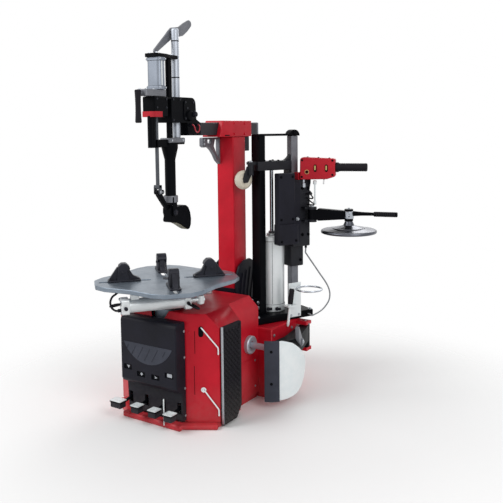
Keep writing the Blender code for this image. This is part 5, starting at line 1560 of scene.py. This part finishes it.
@dataclass
class BeadBreaker:
    """The swinging arm, the curved blade with its guard, and the piston rod."""

    pivot: Point = (0.386, 0.720)
    cap_top: float = 0.3660
    rod_at: Point = (0.338, 0.314)
    rod_radius: float = 0.016
    thread_radius: float = 0.007
    lug_at: Point = (0.020, 0.312)
    lug_radius: float = 0.0235
    lug_face: float = 0.0105

    def build(self) -> None:
        """Makes the pieces that swing and the rod that pulls them."""
        refined("bead_blade", STEEL_BRIGHT, "bead_arm", 0.002)
        refined("blade_guard", MOULDED_GREY, "bead_arm", 0.0015)
        refined("bead_arm", ENAMEL_BLACK, "bead_arm", 0.003)
        self.rod()
        self.dress()
        self.lug()

    def rod(self) -> None:
        """Makes the piston rod with the thread on its end."""
        y, z = self.rod_at
        form = Form().rod(self.rod_radius, (0.120, y, z), (0.384, y, z), 0.002, 40)
        thread = [(0, 0)] + ribbed(self.thread_radius, 0.0009, 0.0002, 0.0012, 20)
        form.lathe(thread + [(0.005, 0.0242), (0, 0.0242)], (0.3838, y, z), RIGHT, 24)
        form.piece("bead_rod_skin", CHROME_SATIN, "bead_rod", ("bead_rod",))

    def dress(self) -> None:
        """Sets the guard's screws and the pivot's cap."""
        guard = [((0.4184, 0.3060, z), (0.542, -0.840, 0)) for z in (0.308, 0.139)]
        bolts("guard_screws", guard, 0.0048, 0.002, ENAMEL_BLACK, "bead_arm", ROUND_HEAD, 1.5)
        x, y = self.pivot
        top = self.cap_top
        cap = ((0, top), (0.018, top), (0.022, 0.3640), (0.0255, 0.3570), (0.0255, 0.3516), (0, 0.3516))
        Form().lathe(cap, (x, y, 0)).piece("bead_pivot_cap", CAST_GREY, "bead_arm")
        bolts("bead_pivot_bolt", [((x, y, top), UP)], 0.010, 0.007, ZINC, "bead_arm")

    def lug(self) -> None:
        """Casts the grey lug on the arm's outer side, beside the blade's upper edge, with its pin."""
        side = turned_frame(0.4753, 0.505, 16.93)
        y, z = self.lug_at
        face = self.lug_face
        outline = arc((y, z), self.lug_radius, -140, 60, 12)
        outline += [(-0.030, 0.402), (-0.044, 0.414), (-0.056, 0.410), (-0.058, 0.396), (-0.052, 0.352),
                    (-0.030, 0.322)]
        casting = Form(side).slab(outline, "YZ", -0.014, 0.005, 0.002)
        boss = ((0, -0.010), (0.0205, -0.010), (0.0205, 0.0085), (0.0185, face), (0, face))
        casting.lathe(boss, (0, y, z), RIGHT, 36)
        casting.piece("bead_arm_lug", CAST_GREY, "bead_arm")
        bolts("bead_lug_pin", spots_in(side, [(face, y, z)], RIGHT), 0.0095, 0.005, ZINC, "bead_arm")


@dataclass
class Helper:
    """The pressing helper: frame, lift cylinder, carriage, controls, disc, roller and stored tools."""

    base_top: float = 0.4252
    lift_at: Point = (-0.035, 0.094)
    lift_radius: float = 0.072
    lift_span: Point = (0.4254, 0.861)
    piston_bore: float = 0.0125
    control_low: float = 1.1584
    control_face: float = -0.0312
    dial_at: Point = (0.040, 0.043)
    grip_level: float = 1.2264
    disc_reach: float = 0.205
    disc_radius: float = 0.152
    handle_level: float = 0.976
    roller_at: Point = (-0.036, -0.0855, 1.165)
    roller_bore: float = 0.0098
    stored_low: Point = (0.131, 0.085, 0.365)
    stored_high: Point = (0.112, 0.128, 0.566)

    def build(self) -> None:
        """Makes the helper from its base to its stored lever."""
        self.stand()
        self.lift()
        self.carriage()
        self.control_pipes()
        self.controls()
        self.disc()
        self.roller()
        self.stores()

    def stand(self) -> None:
        """Makes the base, the post with its head, the rail and their bolts."""
        refined("helper_base", ENAMEL_BLACK, "machine", 0.004)
        refined("helper_post", ENAMEL_BLACK, "machine", 0.003)
        refined("guide_rail", CAST_GREY, "machine", 0.002)
        level = self.base_top
        foot = Form(HELPER).block((-0.070, -0.048, level), (0.028, -0.0190, 0.4375), 0.003)
        foot.block((-0.070, -0.0265, level), (0.028, -0.0188, 0.505), 0.002)
        foot.piece("post_bracket", ENAMEL_BLACK, "machine")
        corners = ((-0.072, -0.070), (0.076, -0.070), (-0.072, 0.276), (0.076, 0.276))
        heads = spots_in(HELPER, [(s, t, level) for s, t in corners], UP)
        front = [(s, -0.0266, z) for s, z in grid((-0.052, 0.010), (0.460, 0.488))]
        heads += spots_in(HELPER, front, FRONT)
        bolts("base_bolts", heads, 0.008, 0.006, ZINC, "machine")
        heads = spots_in(HELPER, [(0.0252, 0.212, 1.414)], RIGHT)
        heads += spots_in(HELPER, [(-0.0252, 0.212, 1.414)], LEFT)
        bolts("head_bolts", heads, 0.011, 0.006, ENAMEL_BLACK, "machine")
        heads = spots_in(HELPER, [(s, -0.0186, 1.387) for s in (-0.046, 0.004)], FRONT)
        bolts("post_bolts", heads, 0.0065, 0.004, ENAMEL_BLACK, "machine")
        block = Form().block((0.168, 0.4325, 0.3855), (0.232, 0.474, 0.448), 0.005)
        block.piece("foot_block", ENAMEL_BLACK, "machine")

    def lift(self) -> None:
        """Makes the lift cylinder with its cap seams, a grey strip of painted reflection down the side that
        faces the camera, nut, fittings and piston rod.
        """
        at = HELPER @ Vector((*self.lift_at, 0.0))
        (z0, z1), r, bore = self.lift_span, self.lift_radius, self.piston_bore
        section = ((bore, z1), (0.028, z1), (0.030, z1 - 0.002), (0.030, z1 - 0.012),
                   (r - 0.004, z1 - 0.0135), (r, z1 - 0.017), (r, z1 - 0.038), (r - 0.003, z1 - 0.041),
                   (r - 0.003, z0 + 0.041), (r, z0 + 0.038), (r, z0 + 0.003), (r - 0.003, z0), (bore, z0))
        skin = Form().lathe(section, at, UP, 80, True)
        skin.piece("lift_cylinder_skin", ALUMINIUM_PALE, "machine", ("lift_cylinder",))
        place = turned_frame(at.x, at.y, 33.3)
        seams, deep, flush = Form(place), r - 0.004, r - 0.0016
        for z in (z1 - 0.0405, z0 + 0.0405):
            low, high = z - 0.0013, z + 0.0013
            seams.lathe(((deep, low), (flush, low), (flush, high), (deep, high)), ORIGIN, UP, 80, True)
        # A dark grey strip down the side that faces the camera: a painted reflection line.
        seams.block((-0.0011, -r + 0.0026, z0 + 0.046), (0.0011, -r + 0.005, z1 - 0.046), 0.0004, 1)
        seams.piece("lift_seams_and_painted_reflection", MOULDED_GREY, "machine")
        section = ((bore, z1 - 0.001), (0.021, z1 - 0.001), (0.021, z1 + 0.009), (0.018, z1 + 0.012),
                   (bore, z1 + 0.012))
        Form().lathe(section, at, UP, 6, True).piece("lift_nut", ZINC, "machine")
        fittings, z = Form(place), z0 + 0.020
        for x in (0.024, -0.024):
            fittings.rod(0.0095, (x, -0.062, z), (x, -0.082, z), 0.0015, 20)
            fittings.rod(0.0075, (x, -0.077, z), (x + 0.022, -0.077, z), 0.001, 18)
        fittings.piece("lift_fittings", MOULDED_BLACK, "machine")
        piston = Form().rod(0.011, at + Vector((0, 0, 0.700)), at + Vector((0, 0, 1.2136)), 0.001, 40)
        piston.piece("lift_piston_skin", CHROME, "carriage", ("lift_piston_rod",))

    def carriage(self) -> None:
        """Makes the carriage, its cover, their bolts, and the stud and trigger of the control box."""
        refined("carriage_frame", CAST_DARK, "carriage", 0.003)
        refined("carriage_cover", MOULDED_BLACK, "carriage", 0.004)
        spots = [(0.1122, t, z) for t, z in grid((0.060, 0.136), (0.950, 1.180))]
        spots += [(0.1222, t, 0.832) for t in (0.056, 0.150)]
        heads = spots_in(HELPER, spots, RIGHT)
        bolts("cover_bolts", heads, 0.005, 0.0035, ENAMEL_BLACK, "carriage", ROUND_HEAD, 1.5)
        heads = spots_in(HELPER, [(0.0902, 0.180, 0.945)], RIGHT)
        bolts("cover_knob", heads, 0.008, 0.010, ZINC, "carriage", 16, 1.2)
        spots = [(0.0662, t, z) for t, z in grid((0.232, 0.272), (0.850, 1.110))] + [(0.0422, 0.236, 0.705)]
        bolts("guide_screws", spots_in(HELPER, spots, RIGHT), 0.0065, 0.008, ENAMEL_BLACK, "carriage")
        spots = [(s, t, 1.2642) for s, t in grid((-0.040, 0.016), (0.052, 0.106))]
        bolts("bar_bolts", spots_in(HELPER, spots, UP), 0.0065, 0.005, ENAMEL_BLACK, "carriage")
        stud = ((0, 1.112), (0.009, 1.112), (0.0125, 1.115), (0.0125, 1.138), (0.0085, 1.141),
                (0.0085, 1.1582), (0, 1.1582))
        Form(CONTROL).lathe(stud, (0.016, 0.0, 0.0), UP, 32).piece("control_stud", CHROME, "carriage")
        trigger = Form(CONTROL).rod(0.0042, (0.133, -0.018, 1.162), (0.133, -0.041, 1.138), 0.001, 16)
        trigger.piece("control_trigger", STEEL_BRIGHT, "carriage")

    def control_pipes(self) -> None:
        """Bends the three black pipes from under the control box to the carriage."""
        for i, (x, drop) in enumerate(((0.034, 1.090), (0.050, 1.066), (0.044, 1.030)), 1):
            wide, narrow = 0.250 + 0.008 * i, 0.250 + 0.006 * i
            upper = ((x, 0.018, 1.164), (x, 0.020, 1.140), (x - 0.008, 0.032, drop + 0.024))
            end = drop - 0.012
            lower = ((0.118, wide, drop - 0.008), (0.086, narrow, end), (0.062, narrow, end))
            route = [CONTROL @ Vector(p) for p in upper] + [HELPER @ Vector(p) for p in lower]
            line(f"control_pipe_{i}", route, 0.0038, RUBBER_BLACK, "carriage", 48)

    def controls(self) -> None:
        """Makes the control box with its plain toggles and dial, black patches of painted shade in the
        toggles' slots, the ribbed grip and the valve lever.
        """
        refined("control_box", MOULDED_RED, "carriage", 0.003)
        refined("valve_lever", STEEL_BRIGHT, "valve_lever", 0.001)
        low, face = self.control_low, self.control_face
        dial = (self.dial_at[0], face, low + self.dial_at[1])
        # The black slab round each toggle is painted shade where its slot is; the dial's black centre joins
        # that piece.
        slots, toggles = Form(CONTROL), Form(CONTROL)
        for x in (0.086, 0.147):
            slot = rounded((x - 0.0075, low + 0.044), (x + 0.0075, low + 0.084), 0.006)
            slots.slab(slot, "XZ", face - 0.0012, face + 0.001, 0.0004, 1)
            toggles.block((x - 0.0030, face - 0.012, low + 0.054), (x + 0.0030, face, low + 0.078), 0.0015)
        ring = ((0.0100, 0), (0.0122, 0), (0.0122, 0.0012), (0.0100, 0.0012))
        toggles.lathe(ring, dial, FRONT, 36, True)
        slots.lathe(((0, 0), (0.0075, 0), (0.0070, 0.007), (0, 0.007)), dial, FRONT, 24)
        slots.piece("control_slot_shade_and_dial", ENAMEL_BLACK, "carriage")
        toggles.piece("control_toggles", PLASTIC_STRAW, "carriage")
        spots = [(x, 0.0, low + 0.1245 - (x - 0.014) * 0.0465) for x in (0.040, 0.100, 0.160)]
        heads = spots_in(CONTROL, spots, (0.046, 0, 1))
        corners = ((0.012, 0.016), (0.180, 0.028), (0.014, 0.108), (0.180, 0.106))
        heads += spots_in(CONTROL, [(x, face, low + up) for x, up in corners], FRONT)
        bolts("control_screws", heads, 0.0042, 0.003, ENAMEL_BLACK, "carriage", ROUND_HEAD, 1.4)
        profile = [(0, 0), (0.020, 0), (0.0262, 0.002), (0.027, 0.004), (0.027, 0.014), (0.0255, 0.0165),
                   (0.0225, 0.020)]
        profile += ribbed(0.0225, 0.0010, 0.0235, 0.0062, 23)
        profile += [(0.0222, 0.1670), (0.0205, 0.1700), (0.017, 0.172), (0, 0.172)]
        grip = Form(CONTROL).lathe(profile, (0.1944, 0.0, self.grip_level), RIGHT)
        grip.piece("control_grip_skin", RUBBER_BLACK, "carriage", ("control_grip",), corner=50.0)

    def disc(self) -> None:
        """Makes the disc's arm with its clamp and handle, and the turned pressing disc."""
        refined("disc_arm", ENAMEL_BLACK, "disc_arm", 0.002)
        reach, r, level = self.disc_reach, self.disc_radius, self.handle_level
        section = ((0.0243, 0.947), (0.0268, 0.949), (0.0274, 0.952), (0.0274, 0.984), (0.0268, 0.987),
                   (0.0243, 0.989))
        clamp = Form(DISC).lathe(section, (reach, 0, 0), UP, 44, True)
        clamp.block((reach - 0.006, -0.040, 0.952), (reach + 0.006, -0.0262, 0.984), 0.002)
        clamp.piece("disc_clamp", CHROME, "disc_arm")
        heads = spots_in(DISC, [(reach + 0.006, -0.034, 0.968)], RIGHT)
        heads += spots_in(DISC, [(reach, 0, 1.0004)], UP)
        bolts("disc_clamp_bolts", heads, 0.0065, 0.006, ZINC, "disc_arm")
        bolts("disc_pivot_bolt", spots_in(DISC, [(0, 0, 1.0082)], UP), 0.013, 0.008, ZINC, "carriage")
        neck = ((0, 0), (0.0150, 0), (0.0140, 0.006), (0.0105, 0.050), (0.0088, 0.113), (0.0105, 0.116),
                (0, 0.116))
        handle = Form(DISC).lathe(neck, (0.2255, 0, level), RIGHT, 32)
        handle.piece("disc_handle_neck", ENAMEL_BLACK, "disc_arm")
        profile = [(0, 0), (0.010, 0), (0.0130, 0.003)]
        profile += ribbed(0.0139, 0.0008, 0.006, 0.0058, 20)
        profile += [(0.0132, 0.1215), (0.009, 0.1268), (0, 0.1270)]
        grip = Form(DISC).lathe(profile, (0.340, 0, level), RIGHT, 32)
        grip.piece("disc_handle_grip", RUBBER_BLACK, "disc_arm", corner=50.0)
        turned = ((0, 0.9356), (0.0185, 0.9356), (0.0205, 0.9340), (0.0300, 0.9130), (0.0340, 0.9110),
                  (0.0800, 0.8970), (0.0830, 0.8985), (0.0880, 0.8985), (0.0905, 0.8945), (0.1400, 0.8868),
                  (0.1430, 0.8882), (0.1480, 0.8862), (0.1510, 0.8830), (r, 0.8785), (r, 0.8750),
                  (0.1495, 0.8705), (0.1420, 0.8682), (0.0600, 0.8800), (0, 0.8800))
        disc = Form(DISC).lathe(turned, (reach, 0, 0), UP, 96)
        disc.piece("press_disc_skin", CHROME_DARK, "press_disc", ("press_disc",), corner=50.0)

    def roller(self) -> None:
        """Makes the roller's arm and the nylon roller with its recessed sides."""
        refined("roller_arm", CAST_DARK, "roller_arm", 0.0015)
        bore = self.roller_bore
        section = ((bore, 0.0155), (0.0200, 0.0155), (0.0220, 0.0125), (0.0360, 0.0125), (0.0385, 0.0153),
                   (0.0405, 0.0150), (0.0490, 0.0085), (0.0515, 0.0030), (0.0520, -0.0050),
                   (0.0505, -0.0100), (0.0460, -0.0155), (0.0360, -0.0155), (0.0340, -0.0125),
                   (0.0220, -0.0125), (0.0200, -0.0155), (bore, -0.0155))
        roller = Form(HELPER).lathe(section, self.roller_at, RIGHT, 64, True)
        roller.piece("press_roller_skin", NYLON, "press_roller", ("press_roller",))
        s, t, z = self.roller_at
        nut = spots_in(HELPER, [(s - 0.0222, t, z)], LEFT)
        bolts("roller_nut", nut, 0.010, 0.006, ZINC, "roller_arm")
        pivot = spots_in(HELPER, [(0.0, -0.060, 1.2622)], UP)
        bolts("roller_pivot_bolt", pivot, 0.009, 0.006, ZINC, "carriage")

    def stores(self) -> None:
        """Makes the holder with its ring, and the stored lever with its grip."""
        refined("tool_holder", STEEL_BRIGHT, "machine", 0.0008)
        section = [(0.0695 + a, b) for a, b in arc((0, 0), 0.0050, 0, 330, 12)]
        wire = Form(HELPER).lathe(section, (0.172, 0.200, 0.566), UP, 64, True)
        wire.piece("soap_ring_wire", CHROME, "machine")
        screws = spots_in(HELPER, [(0.0951, t, 0.411) for t in (0.132, 0.186)], RIGHT)
        bolts("holder_screws", screws, 0.0055, 0.004, ZINC, "machine")
        low, high = (HELPER @ Vector(p) for p in (self.stored_low, self.stored_high))
        way = (high - low).normalized()
        profile = ((0, 0), (0.0035, 0), (0.0058, 0.005), (0.0074, 0.014), (0.0074, 0.1300), (0, 0.1300))
        bar = Form().lathe(profile, low, way, 28)
        bar.piece("stored_lever_bar", STEEL_BRIGHT, "stored_lever", ("stored_lever",))
        profile = [(0, 0.1212), (0.0118, 0.1212), (0.0138, 0.1265)]
        profile += ribbed(0.0145, 0.0008, 0.1300, 0.0052, 13)
        profile += [(0.0138, 0.1985), (0.0100, 0.2062), (0, 0.2064)]
        grip = Form().lathe(profile, low, way, 32)
        grip.piece("stored_lever_grip", RUBBER_BLACK, "stored_lever", corner=50.0)


def main() -> None:
    """Builds the studio and then the machine, sub-assembly by sub-assembly."""
    logging.basicConfig(level=logging.INFO, format="%(message)s")
    parts = (Studio(), Hoses(), Cabinet(), Turntable(), ColumnArm(), ToolHead(), BeadBreaker(), Helper())
    for part in parts:
        part.build()
        LOG.info("%s done", type(part).__name__)


if __name__ == "__main__":
    main()
